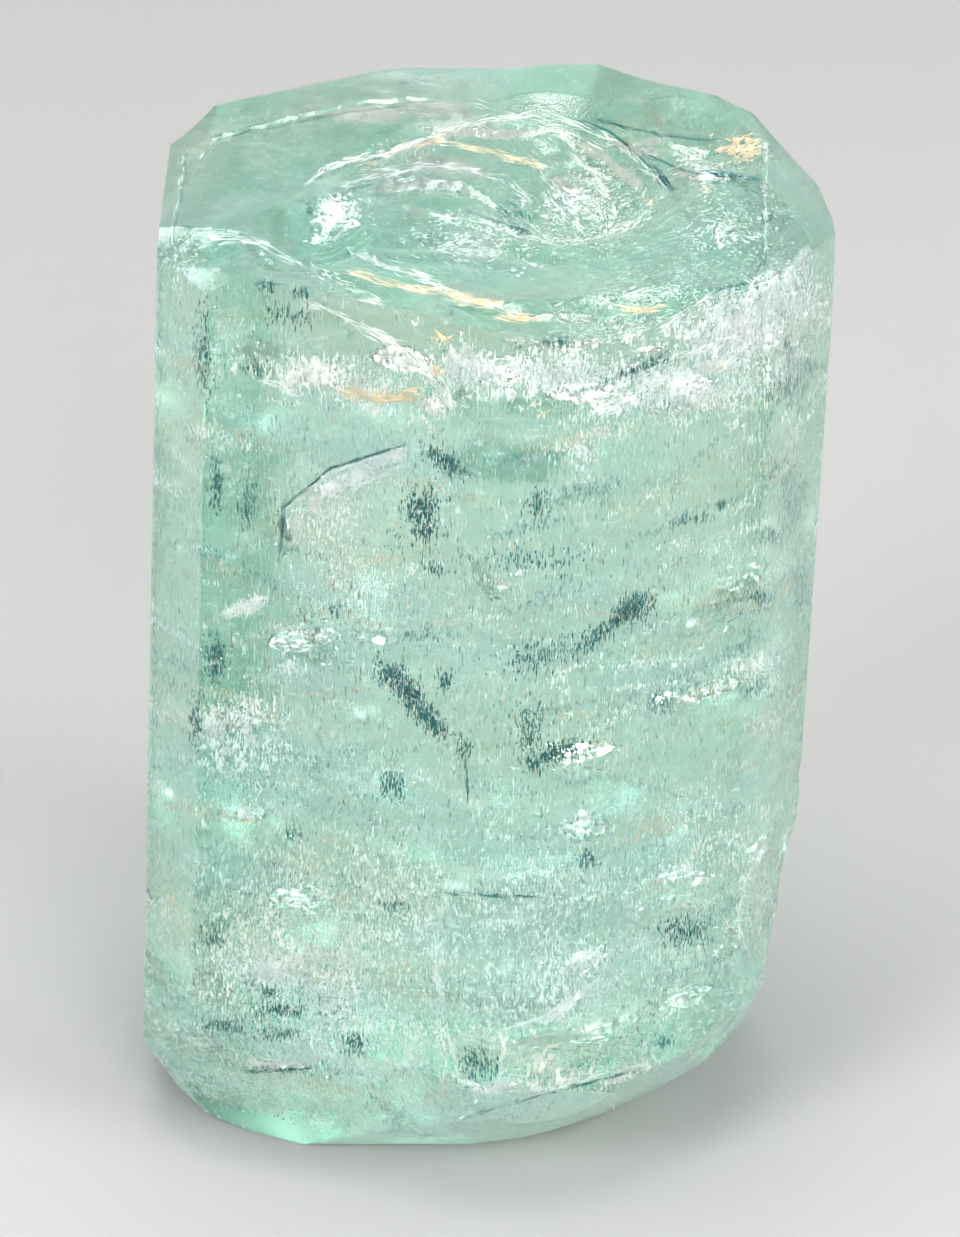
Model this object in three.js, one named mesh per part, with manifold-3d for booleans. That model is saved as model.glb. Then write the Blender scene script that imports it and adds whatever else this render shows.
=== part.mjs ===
// A stout aquamarine crystal: one leaning six-sided beryl prism with cut-off corners, a broken and
// dished top, bevels round its broken foot, and chips along its edges. Millimetres, +Z up.
// Inside this file lengths are measured from where the long axis meets the resting face. The part's
// origin is under the middle of its box, on the resting face.
import * as THREE from "three";
import { ConvexGeometry } from "three/addons/geometries/ConvexGeometry.js";
import { mergeVertices } from "three/addons/utils/BufferGeometryUtils.js";
import Module from "manifold-3d";

// Driving dimensions
const HEIGHT = 52.3; // the top's mean level above the resting face
const LEAN = 0.039; // how far the long axis moves along +X for each millimetre of height
const TOP_SPARE = 4; // what the prism stands above its top before the top is cut
const RELIEF_CELL = 1.2; // spacing of the top relief's grid
const RELIEF_REACH = 24; // half the width of the relief's grid
const AXIS_FOOT = [-1.45, -0.35]; // where the long axis meets the resting face, from the box's middle

// Corners of the cross-section, going round from the front edge: x and y from the long axis, and
// the height at which the corner turns into the foot's bevel
const CORNERS = [
  { name: "front", x: 1.0, y: -19.3, foot: 8.6 },
  { name: "front right edge", x: 6.3, y: -18.8, foot: 6.6 },
  { name: "right front", x: 15.5, y: -11.6, foot: 7.8 },
  { name: "right", x: 18.5, y: -3.6, foot: 9.4 },
  { name: "right back", x: 17.8, y: 3.4, foot: 8.0 },
  { name: "back right", x: 14.7, y: 12.8, foot: 6.0 },
  { name: "back", x: 6.2, y: 19.4, foot: 5.0 },
  { name: "back left edge", x: -4.8, y: 20.0, foot: 4.6 },
  { name: "left back", x: -15.2, y: 13.4, foot: 3.6 },
  { name: "left", x: -17.4, y: 7.2, foot: 3.0 },
  { name: "left front", x: -17.4, y: -8.0, foot: 5.0 },
  { name: "front left edge", x: -14.6, y: -12.0, foot: 8.2 },
];

// The rounded breaks between the walls and the resting face
const FOOT_POINTS = [
  [5.2, -10.2, 0.4], [8.0, -10.0, 1.1], [11.3, -9.3, 2.4], [14.1, -8.6, 3.9], [16.3, -7.4, 6.0],
  [17.4, 0.0, 5.4], [15.6, 6.0, 3.0], [12.4, 11.8, 1.6], [5.6, 16.2, 0.9], [-5.0, 17.0, 0.9],
  [-12.6, 12.6, 0.6], [-16.4, 5.0, 1.0], [-17.4, -2.6, 2.6], [-16.6, -4.9, 1.9], [-15.2, -6.9, 1.1],
  [-13.6, -8.3, 0.4],
];

// Outline of the broken face that the crystal rests on
const REST_OUTLINE = [
  [-8.4, -10.9], [0.6, -10.9], [3.6, -10.2], [8.4, -7.2], [11.6, -1.5], [11.8, 5.0], [8.6, 11.4],
  [2.0, 14.8], [-6.0, 14.8], [-12.0, 9.6], [-14.6, 3.2], [-14.8, -2.6], [-13.4, -7.0], [-11.4, -9.3],
];

// Flat breaks: a point on each and the direction that it faces
const FLAT_BREAKS = [
  { name: "right top bevel", at: [17.0, -2, 52.2], faces: [0.26, 0.02, 0.96] },
  { name: "right upper wall", at: [20.3, 0, 46], faces: [1, 0, 0] },
  { name: "left front top corner", at: [-14.0, -9.9, 51.4], faces: [-0.62, -0.5, 0.6] },
  { name: "back left rim", at: [-10.5, 14.9, 52.35], faces: [-0.16, 0.25, 0.95] },
  { name: "front foot corner", at: [3.2, -17.2, 6.2], faces: [0.14, -0.78, -0.6] },
];

// Shell-shaped breaks, each a dish pressed into the surface: its name, the middle of its rim, the
// direction that it opens in, its two radii, depth, turn about its own axis, and how flat its floor is
const DISHES = [
  ["top hollow", [3.3, -1.4, 52.6], [0.02, -0.02, 1], [11.2, 14.6], 1.7, 14, 3],
  ["top inner hollow", [6.2, 2.6, 51.7], [0.03, 0.05, 1], [6.2, 10.4], 1.9, 8, 2],
  ["left hollow tip", [-5.4, -4.2, 52.4], [-0.3, -0.1, 1], [3.2, 5.4], 1.2, -18, 2],
  ["back right hollow", [13.6, 7.2, 52.6], [0.1, 0.1, 1], [3.4, 6.6], 1.1, 24, 2],
  ["front shelf", [5.0, -15.2, 52.5], [0.05, -0.2, 1], [8.6, 4.6], 1.0, -6, 2],
  ["right shelf", [14.2, -6.4, 52.2], [0.16, -0.1, 1], [3.8, 6.0], 0.9, -20, 2],
  ["back rim chip", [3.1, 20.3, 52.4], [0.1, 0.8, 0.7], [3.0, 2.6], 0.9, 0, 2],
  ["left rim chip", [-12.2, -8.6, 52.3], [-0.2, -0.1, 1], [3.4, 2.0], 0.5, -20, 2],
  ["right wall scar", [18.6, -3.6, 10.4], [0.98, -0.1, -0.12], [6.6, 5.8], 1.3, 0, 3],
  ["right foot scar", [15.6, -9.6, 5.4], [0.66, -0.6, -0.45], [6.2, 4.6], 1.0, 20, 2],
  ["front foot scar", [6.6, -17.9, 8.6], [0.32, -0.93, -0.16], [7.4, 2.5], 0.8, 4, 2],
  ["front facet scar", [1.4, -19.3, 9.6], [-0.2, -0.97, -0.14], [2.4, 3.0], 0.75, 0, 4],
  ["left foot scar", [-13.6, -11.2, 3.6], [-0.55, -0.62, -0.55], [4.4, 3.2], 0.6, 0, 2],
  ["under hollow", [-2.0, 3.0, 0], [0.04, 0.03, -1], [7.6, 6.2], 0.7, 20, 2],
  ["back foot scar", [1.0, 18.8, 2.4], [0.1, 0.7, -0.7], [7.2, 3.4], 1.1, 0, 2],
  ["left back foot scar", [-15.4, 9.8, 1.8], [-0.7, 0.4, -0.6], [4.6, 3.0], 0.8, 0, 2],
];

// Small nicks along the upright edges: which corner, height, radius
const NICKS = [
  [3, 14.2, 1.1], [3, 16.6, 0.9], [3, 19.2, 0.8], [3, 22.0, 0.6], [2, 46.0, 0.7], [1, 33.0, 0.5],
  [10, 6.8, 0.6], [10, 8.6, 0.5], [8, 30.0, 0.9], [7, 41.0, 0.8], [6, 22.0, 1.0], [5, 29.0, 0.8],
];

const RINGS = 7; // rings of a dish's floor
const MIN_SECTORS = 18; // sectors of a dish's rim, more of them on a wide dish
const BLOCK = 60; // larger than the crystal, for the solids that cut it

const wasm = await Module();
wasm.setup();

// A closed geometry as a solid that can be cut and joined
function solidOf(geometry) {
  const bare = geometry.index ? geometry.toNonIndexed() : geometry.clone();
  bare.deleteAttribute("normal");
  bare.deleteAttribute("uv");
  const merged = mergeVertices(bare, 1e-4);
  return new wasm.Manifold(
    new wasm.Mesh({
      numProp: 3,
      vertProperties: new Float32Array(merged.attributes.position.array),
      triVerts: new Uint32Array(merged.index.array),
    }),
  );
}

// A cut solid as a geometry with flat faces
function geometryOf(solid) {
  const mesh = solid.getMesh();
  const positions = new Float32Array(mesh.numVert * 3);
  for (let i = 0; i < mesh.numVert; i++) {
    positions.set(mesh.vertProperties.subarray(i * mesh.numProp, i * mesh.numProp + 3), i * 3);
  }
  const geometry = new THREE.BufferGeometry();
  geometry.setAttribute("position", new THREE.BufferAttribute(positions, 3));
  geometry.setIndex(new THREE.BufferAttribute(new Uint32Array(mesh.triVerts), 1));
  geometry.computeVertexNormals();
  return geometry;
}

// Turns a geometry's +Z to the given direction and moves it into place
function aim(geometry, at, direction) {
  const turn = new THREE.Quaternion().setFromUnitVectors(
    new THREE.Vector3(0, 0, 1),
    new THREE.Vector3(...direction).normalize(),
  );
  return geometry.applyQuaternion(turn).translate(...at);
}

// The prism with its bevelled foot is the hull of its corners, foot points and resting outline
function prism() {
  const points = [];
  for (const { x, y, foot } of CORNERS) {
    for (const z of [foot, HEIGHT + TOP_SPARE]) points.push(new THREE.Vector3(x + LEAN * z, y, z));
  }
  for (const [x, y, z] of FOOT_POINTS) points.push(new THREE.Vector3(x, y, z));
  for (const [x, y] of REST_OUTLINE) points.push(new THREE.Vector3(x, y, 0));
  return new ConvexGeometry(points);
}

// Height of the broken top above the mean level: a slight dip to the front, and low swells
function relief(x, y) {
  const dip = 0.008 * y - 0.006 * x;
  const swell = 0.16 * Math.sin(0.31 * x + 0.22 * y + 0.6) + 0.1 * Math.sin(0.53 * y - 0.4 * x);
  const ripple = 0.05 * Math.sin(1.1 * x + 0.5 * y) * Math.sin(0.9 * y - 0.3 * x);
  return HEIGHT + dip + swell + ripple;
}

// A block whose upper side is the relief, to cut the prism's top with
function reliefBlock() {
  const cells = Math.round((2 * RELIEF_REACH) / RELIEF_CELL);
  const geometry = new THREE.BoxGeometry(2 * RELIEF_REACH, 2 * RELIEF_REACH, BLOCK, cells, cells, 1);
  const position = geometry.attributes.position;
  for (let i = 0; i < position.count; i++) {
    const isUpper = position.getZ(i) > 0;
    position.setZ(i, isUpper ? relief(position.getX(i), position.getY(i)) : HEIGHT - BLOCK);
  }
  return geometry;
}

// The closed tool that presses one shell-shaped dish: a curved floor below, straight above its rim
function dishTool([, at, opens, radii, depth, turn, floor]) {
  const height = 5 + depth;
  const profile = [];
  for (let i = 0; i <= RINGS; i++) {
    const r = Math.sin((i / RINGS) * (Math.PI / 2));
    profile.push(new THREE.Vector2(r, -depth * (1 - r ** floor)));
  }
  const flare = 1.25; // above the rim the tool widens, so that it leaves no wall behind
  profile.push(new THREE.Vector2(flare, height * 0.2), new THREE.Vector2(flare, height));
  profile.push(new THREE.Vector2(0, height));
  const sectors = Math.round(MIN_SECTORS + 1.6 * Math.max(...radii));
  const geometry = new THREE.LatheGeometry(profile, sectors);
  geometry.rotateX(Math.PI / 2).scale(radii[0], radii[1], 1);
  geometry.rotateZ(THREE.MathUtils.degToRad(turn));
  return aim(geometry, at, opens);
}

// A big block that lies on the outer side of a flat break
function breakTool({ at, faces }) {
  return aim(new THREE.BoxGeometry(BLOCK, BLOCK, BLOCK).translate(0, 0, BLOCK / 2), at, faces);
}

// A small faceted ball that nicks an upright edge
function nickTool([corner, z, radius]) {
  const { x, y } = CORNERS[corner];
  const outward = 1 + (radius * 0.62) / Math.hypot(x, y);
  const ball = new THREE.IcosahedronGeometry(radius, 1).scale(1, 1, 1.7);
  return ball.translate(x * outward + LEAN * z, y * outward, z);
}

function crystal() {
  let solid = solidOf(prism()).intersect(solidOf(reliefBlock()));
  for (const tool of FLAT_BREAKS) solid = solid.subtract(solidOf(breakTool(tool)));
  for (const tool of DISHES) solid = solid.subtract(solidOf(dishTool(tool)));
  for (const tool of NICKS) solid = solid.subtract(solidOf(nickTool(tool)));
  return geometryOf(solid).translate(...AXIS_FOOT, 0);
}

const beryl = new THREE.MeshStandardMaterial({
  color: 0xb4d6ca,
  roughness: 0.12,
  metalness: 0,
  transparent: true,
  opacity: 0.6,
});
const aquamarine = new THREE.Mesh(crystal(), beryl);
aquamarine.name = "crystal";

const part = new THREE.Group();
part.add(aquamarine);

export default part;
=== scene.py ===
"""Dresses the aquamarine crystal: a fine surface with growth lines and shell-shaped breaks, veils and
stains inside and on it, a clear blue-green material, and a plain studio round it.

Shapes are worked out in millimetres from the foot of the crystal's long axis, with the same values as
the solid's, and turned to metres in the frame by to_frame."""

import math

import bmesh
import bpy
import numpy as np
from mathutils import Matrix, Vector
from mathutils.bvhtree import BVHTree


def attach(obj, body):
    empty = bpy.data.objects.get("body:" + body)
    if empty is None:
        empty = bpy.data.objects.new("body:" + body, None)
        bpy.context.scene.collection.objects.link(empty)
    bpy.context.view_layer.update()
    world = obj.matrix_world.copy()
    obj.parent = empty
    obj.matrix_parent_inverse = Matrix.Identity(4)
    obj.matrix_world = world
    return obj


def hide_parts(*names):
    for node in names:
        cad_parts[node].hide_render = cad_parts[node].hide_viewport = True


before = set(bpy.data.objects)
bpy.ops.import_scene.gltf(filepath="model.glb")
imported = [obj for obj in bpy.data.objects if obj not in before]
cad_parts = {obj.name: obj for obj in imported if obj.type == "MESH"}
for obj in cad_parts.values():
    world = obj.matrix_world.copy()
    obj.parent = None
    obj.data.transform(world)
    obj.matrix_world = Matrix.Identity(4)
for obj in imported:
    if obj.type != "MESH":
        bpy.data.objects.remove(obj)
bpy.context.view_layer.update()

MM = 0.001
BODY = "root"
BERYL_IOR = 1.577
AXIS_FOOT = (-1.45, -0.35)  # where the long axis meets the resting face, from the box's middle

# The crystal's form
HEIGHT = 52.3  # the top's mean level above the resting face
LEAN = 0.039  # how far the long axis moves along +X for each millimetre of height
TOP_SPARE = 4.0  # what the wall stands above the top before the top is cut
COLUMN = 0.14  # width of the wall's upright strips
LEVEL = 1.8  # height of the wall's rows
TOP_GRID = 0.2  # cell of the top's grid
FOOT_GRID = 0.3  # cell of the foot's grid
REACH = 21.6  # half the width of those grids

# Corners of the cross-section, from the front edge round by the right: x, y and the height at which
# the corner turns into the foot's bevel, and how strongly the wall after it is striated
CORNERS = [
    ("front", 1.0, -19.3, 8.6, 0.9),
    ("front right edge", 6.3, -18.8, 6.6, 1.0),
    ("right front", 15.5, -11.6, 7.8, 0.8),
    ("right", 18.5, -3.6, 9.4, 0.25),
    ("right back", 17.8, 3.4, 8.0, 0.8),
    ("back right", 14.7, 12.8, 6.0, 1.0),
    ("back", 6.2, 19.4, 5.0, 0.9),
    ("back left edge", -4.8, 20.0, 4.6, 1.0),
    ("left back", -15.2, 13.4, 3.6, 0.5),
    ("left", -17.4, 7.2, 3.0, 0.2),
    ("left front", -17.4, -8.0, 5.0, 0.5),
    ("front left edge", -14.6, -12.0, 8.2, 1.0),
]

SOFT_EDGES = [(1.0, -19.3), (6.3, -18.8), (15.5, -11.6), (-4.8, 20.0)]  # edges worn round
SOFTENING = 90  # rounds of smoothing at those edges

# The rounded breaks between the walls and the resting face, and that face's outline
FOOT_POINTS = [
    (5.2, -10.2, 0.4), (8.0, -10.0, 1.1), (11.3, -9.3, 2.4), (14.1, -8.6, 3.9), (16.3, -7.4, 6.0),
    (17.4, 0.0, 5.4), (15.6, 6.0, 3.0), (12.4, 11.8, 1.6), (5.6, 16.2, 0.9), (-5.0, 17.0, 0.9),
    (-12.6, 12.6, 0.6), (-16.4, 5.0, 1.0), (-17.4, -2.6, 2.6), (-16.6, -4.9, 1.9), (-15.2, -6.9, 1.1),
    (-13.6, -8.3, 0.4),
]
REST_OUTLINE = [
    (-8.4, -10.9), (0.6, -10.9), (3.6, -10.2), (8.4, -7.2), (11.6, -1.5), (11.8, 5.0), (8.6, 11.4),
    (2.0, 14.8), (-6.0, 14.8), (-12.0, 9.6), (-14.6, 3.2), (-14.8, -2.6), (-13.4, -7.0), (-11.4, -9.3),
]

# Flat breaks: a point on each and the direction that it faces
FLAT_BREAKS = [
    ("right top bevel", (17.0, -2, 52.2), (0.26, 0.02, 0.96)),
    ("right upper wall", (20.3, 0, 46), (1, 0, 0)),
    ("left front top corner", (-14.0, -9.9, 51.4), (-0.62, -0.5, 0.6)),
    ("back left rim", (-10.5, 14.9, 52.35), (-0.16, 0.25, 0.95)),
    ("front foot corner", (3.2, -17.2, 6.2), (0.14, -0.78, -0.6)),
]

# Shell-shaped breaks: middle of the rim, direction it opens in, two radii, depth, turn, floor's
# flatness and the height of the ripples on its floor
TOP_DISHES = [
    ("top hollow", (3.3, -1.4, 52.6), (0.02, -0.02, 1), (11.2, 14.6), 1.7, 14, 3, 0.05),
    ("top inner hollow", (6.2, 2.6, 51.7), (0.03, 0.05, 1), (6.2, 10.4), 1.9, 8, 2, 0.09),
    ("left hollow tip", (-5.4, -4.2, 52.4), (-0.3, -0.1, 1), (3.2, 5.4), 1.2, -18, 2, 0.06),
    ("back right hollow", (13.6, 7.2, 52.6), (0.1, 0.1, 1), (3.4, 6.6), 1.1, 24, 2, 0.05),
    ("front shelf", (5.0, -15.2, 52.5), (0.05, -0.2, 1), (8.6, 4.6), 1.0, -6, 2, 0.05),
    ("right shelf", (14.2, -6.4, 52.2), (0.16, -0.1, 1), (3.8, 6.0), 0.9, -20, 2, 0.05),
    ("left rim chip", (-12.2, -8.6, 52.3), (-0.2, -0.1, 1), (3.4, 2.0), 0.5, -20, 2, 0.03),
]
SIDE_DISHES = [
    ("back rim chip", (3.1, 20.3, 52.4), (0.1, 0.8, 0.7), (3.0, 2.6), 0.9, 0, 2, 0.03),
    ("right wall scar", (18.6, -3.6, 10.4), (0.98, -0.1, -0.12), (6.6, 5.8), 1.3, 0, 3, 0.07),
    ("right foot scar", (15.6, -9.6, 5.4), (0.66, -0.6, -0.45), (6.2, 4.6), 1.0, 20, 2, 0.05),
    ("front foot scar", (6.6, -17.9, 8.6), (0.32, -0.93, -0.16), (7.4, 2.5), 0.8, 4, 2, 0.03),
    ("front facet scar", (1.4, -19.3, 9.6), (-0.2, -0.97, -0.14), (2.4, 3.0), 0.75, 0, 4, 0.02),
    ("left foot scar", (-13.6, -11.2, 3.6), (-0.55, -0.62, -0.55), (4.4, 3.2), 0.6, 0, 2, 0.03),
    ("under hollow", (-2.0, 3.0, 0), (0.04, 0.03, -1), (7.6, 6.2), 0.7, 20, 2, 0.06),
    ("back foot scar", (1.0, 18.8, 2.4), (0.1, 0.7, -0.7), (7.2, 3.4), 1.1, 0, 2, 0.05),
    ("left back foot scar", (-15.4, 9.8, 1.8), (-0.7, 0.4, -0.6), (4.6, 3.0), 0.8, 0, 2, 0.04),
]

# Ledges of the top: the line of each, how far the side on the right of the line's way drops, and
# over what distance the drop fades
TOP_LEDGES = [
    ("back step", [(-13.1, 7.3), (-12.9, 8.9), (-9.5, 10.8), (-5.5, 13.2), (1.0, 15.0)], 0.22, 3.0),
    ("eye upper", [(-7.8, 1.9), (-6.7, 4.3), (-3.9, 6.4), (-0.9, 9.4), (1.3, 11.4), (5.9, 13.0)], 0.45, 2.2),
    ("eye second", [(-6.6, 0.7), (-4.5, 2.7), (-1.7, 4.3), (0.6, 4.3), (2.7, 2.7), (4.2, -0.1)], 0.4, 1.8),
    ("eye lower", [(4.8, -17.5), (1.5, -14.5), (-0.8, -12.6), (-3.6, -10.0), (-7.3, -5.9)], 0.4, 2.4),
    ("eye floor", [(11.0, 3.1), (10.8, -1.3), (9.4, -4.8), (5.9, -7.3), (3.9, -6.3), (0.6, -2.2)], 0.5, 2.0),
    ("right ridge", [(5.9, 13.0), (8.6, 10.0), (9.9, 6.7), (10.7, 4.3), (11.6, 1.9)], 0.5, 1.6),
    ("upper right", [(8.0, 11.8), (11.6, 9.2), (15.1, 8.4)], 0.3, 1.5),
    ("lower right", [(10.3, 6.4), (12.9, 3.4), (14.9, 3.1), (16.5, 2.4)], 0.4, 1.5),
    ("right line", [(17.2, 8.7), (16.7, -0.7), (16.3, -9.7)], 0.16, 2.0),
    ("right crescent", [(13.8, -13.5), (15.2, -11.6), (16.5, -9.3)], 0.35, 1.2),
    ("front left", [(-13.0, -6.1), (-9.9, -6.9), (-7.8, -10.0), (-5.6, -12.7), (-3.5, -15.2)], 0.3, 1.6),
]
PUPIL = ((6.3, 2.0), (5.0, 9.6))  # middle and half size of the streaked floor in the eye
PUPIL_GRAIN = (0.51, -0.86)  # the way its streaks run

# Small nicks along the upright edges: which corner, height, radius
NICKS = [
    (3, 14.2, 1.1), (3, 16.6, 0.9), (3, 19.2, 0.8), (3, 22.0, 0.6), (2, 46.0, 0.7), (1, 33.0, 0.5),
    (10, 6.8, 0.6), (10, 8.6, 0.5), (8, 30.0, 0.9), (7, 41.0, 0.8), (6, 22.0, 1.0), (5, 29.0, 0.8),
]

# The photograph's camera, fitted to the crystal's outline
CAMERA_TARGET = (1.529, 0.0, 27.11)
CAMERA_DISTANCE = 330.0
CAMERA_ELEVATION = 24.76
CAMERA_LENS = 174.06
SENSOR = 36.0
PHOTO_SIZE = (960, 1237)

# Looks
# WHITE is also the colour of the bits that paint highlights under the rim and the top
WHITE = (0.88, 0.98, 0.96)
# TEAL is the colour of the bits that paint dark reflections and shade, and of the wing flake's dark edge
TEAL = (0.004, 0.15, 0.16)
OCHRE = (0.86, 0.76, 0.56)
BROWN = (0.20, 0.11, 0.035)
SAND = (0.70, 0.64, 0.50)
SLATE = (0.16, 0.33, 0.36)
PALE = (0.86, 0.95, 0.90)
GREY = (0.08, 0.2, 0.19)
BODY_TINTS = [(0.34, (0.84, 0.90, 0.90)), (0.5, (1.0, 0.98, 0.95)), (0.64, (1.0, 0.93, 0.84))]
ABSORPTION = (0.02, 0.90, 0.65)
ABSORPTION_DENSITY = 12.0
WALL_ROUGHNESS = 0.16  # the walls are etched by growth
BREAK_ROUGHNESS = 0.02  # the breaks are as smooth as glass

# The studio, in metres: name, place, width and watts of each light
LIGHTS = [
    ("overhead", (-0.05, -0.02, 0.7), 0.55, 5.6),
    ("left", (-0.4, -0.5, 0.45), 0.35, 6.8),
    ("front", (0.15, -0.65, 0.4), 0.35, 5.4),
    ("back", (0.02, 0.26, 0.6), 0.16, 0.5),
    ("right", (0.55, -0.35, 0.4), 0.35, 6.1),
]
LIGHTS_AIM = (0, 0, 0.026)
STUDIO_COLOUR = (0.96, 1.0, 1.0)
STUDIO_STRENGTH = 0.75
FLOOR_COLOUR = (0.235, 0.235, 0.23)
FLOOR_LEVEL = -0.00005

# Manners of clusters: bits for each pixel of area, depths under the surface, lengths and widths
FINE_FLECKS = (0.36, (0.08, 0.5), (0.12, 0.6), (0.07, 0.26))
BROAD_FLAKES = (0.09, (0.2, 0.5), (0.3, 1.0), (0.25, 0.7))
DARK_REFLECTION_FLECKS = (0.85, (0.08, 0.3), (0.14, 0.6), (0.07, 0.16))
STAIN_FLECKS = (0.5, (0.1, 0.4), (0.1, 0.4), (0.05, 0.16))
STAIN_FLAKES = (0.22, (0.12, 0.3), (0.3, 0.7), (0.2, 0.5))
NEEDLES = (0.25, (0.2, 0.8), (0.3, 1.0), (0.05, 0.1))
CLUSTER_SPREAD = 0.55  # how far bits stray, in half widths of their cluster
BIT_MARGIN = 0.06  # least depth of a bit's middle under the surface
BIT_FLATNESS = 0.6  # thickness of a bit over its width
TOP_NORMAL = 0.6  # a surface that rises less steeply than this counts as the top or the foot
SPLINTER_FACES = np.array([(0, 2, 1), (0, 1, 3), (0, 3, 2), (1, 2, 3)])  # two tips, then two flanks

# What shows in and under the crystal's front and top, placed by the photograph's pixels: middle
# across and down, half width, half height, tilt up to the right in degrees, and how thickly it lies
WHITE_CLUSTERS_AND_HIGHLIGHTS = [
    # The hatched wing and the haze under it
    (388, 458, 18, 5, 20, 9), (360, 473, 16, 7, 28, 9), (335, 487, 12, 8, 36, 8),
    (314, 504, 8, 6, 44, 7), (298, 522, 4, 10, -10, 4), (250, 605, 14, 6, 16, 8),
    (228, 613, 8, 3, 10, 7), (330, 520, 40, 34, 40, 0.7), (345, 580, 60, 40, 30, 0.35),
    # Broad haze
    (720, 230, 60, 50, 0, 0.4), (640, 290, 80, 26, 0, 0.4), (400, 1000, 150, 70, 0, 0.25),
    (620, 960, 130, 90, 0, 0.22), (300, 900, 110, 80, 0, 0.25), (775, 945, 22, 40, 0, 0.9),
    (250, 960, 60, 50, 0, 0.8), (330, 1000, 50, 50, 0, 0.8), (560, 980, 60, 40, 0, 0.7),
    (700, 830, 60, 40, 0, 0.6), (250, 740, 50, 50, 0, 0.6), (560, 880, 120, 50, 0, 0.35),
    (400, 900, 70, 60, 0, 0.4), (760, 900, 26, 60, 0, 0.5), (300, 1060, 80, 30, 0, 0.5),
    # Under the rim: painted highlight, white bits where the top's underside mirrors the light
    (770, 320, 60, 40, 25, 2.6), (700, 395, 80, 14, 8, 1.8), (560, 375, 90, 18, 0, 1.8),
    (340, 380, 80, 18, -12, 1.5), (740, 335, 48, 30, 15, 1.6), (800, 300, 26, 45, 60, 1.2),
    (690, 372, 45, 10, 12, 1.5), (640, 402, 38, 7, 10, 1.2), (600, 330, 60, 12, 6, 0.8),
    (700, 400, 60, 12, -8, 1.0), (192, 270, 26, 30, 20, 0.7), (312, 371, 26, 12, -8, 1.4),
    (403, 363, 16, 14, -40, 1.4), (432, 406, 22, 9, -35, 1.5), (285, 388, 22, 5, -22, 1.1),
    (467, 366, 22, 20, 0, 1.6), (553, 379, 27, 9, 5, 1.4),
    # Under the top: painted highlights
    (480, 240, 80, 34, 0, 0.6), (600, 210, 50, 34, 0, 1.0), (341, 213, 20, 16, 0, 1.5),
    (322, 242, 15, 5, 0, 1.0), (446, 218, 13, 6, 0, 1.3), (691, 157, 18, 9, -10, 1.3),
    (615, 232, 16, 7, 10, 1.1), (581, 196, 22, 12, -30, 0.9), (590, 168, 7, 24, 35, 0.9),
    (552, 214, 5, 20, 25, 0.9),
    # Down the walls
    (440, 486, 14, 5, -35, 0.8), (292, 667, 17, 12, 0, 0.9), (213, 726, 17, 16, 0, 1.5),
    (240, 708, 24, 14, 0, 0.9), (247, 812, 13, 6, -10, 1.5), (401, 872, 6, 13, 15, 1.0),
    (269, 971, 19, 15, -15, 1.6), (344, 959, 8, 17, 10, 1.3), (272, 1064, 34, 5, -8, 1.3),
    (438, 975, 7, 66, 2, 0.9), (577, 452, 24, 10, 0, 1.0), (600, 432, 26, 6, 5, 0.9),
    (789, 456, 9, 17, 0, 1.0), (755, 665, 32, 13, 12, 1.1), (640, 634, 42, 5, 25, 0.7),
    (557, 678, 11, 12, 0, 1.0), (766, 724, 20, 12, 0, 1.2), (605, 724, 26, 6, 20, 0.8),
    (583, 818, 10, 9, 0, 1.1), (767, 811, 14, 9, 0, 1.2), (683, 866, 10, 13, 0, 1.2),
    (586, 964, 17, 13, 0, 0.9), (568, 1002, 30, 9, 40, 0.9), (619, 1077, 20, 5, 22, 1.6),
    (499, 1087, 24, 6, 18, 1.5),
]
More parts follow.
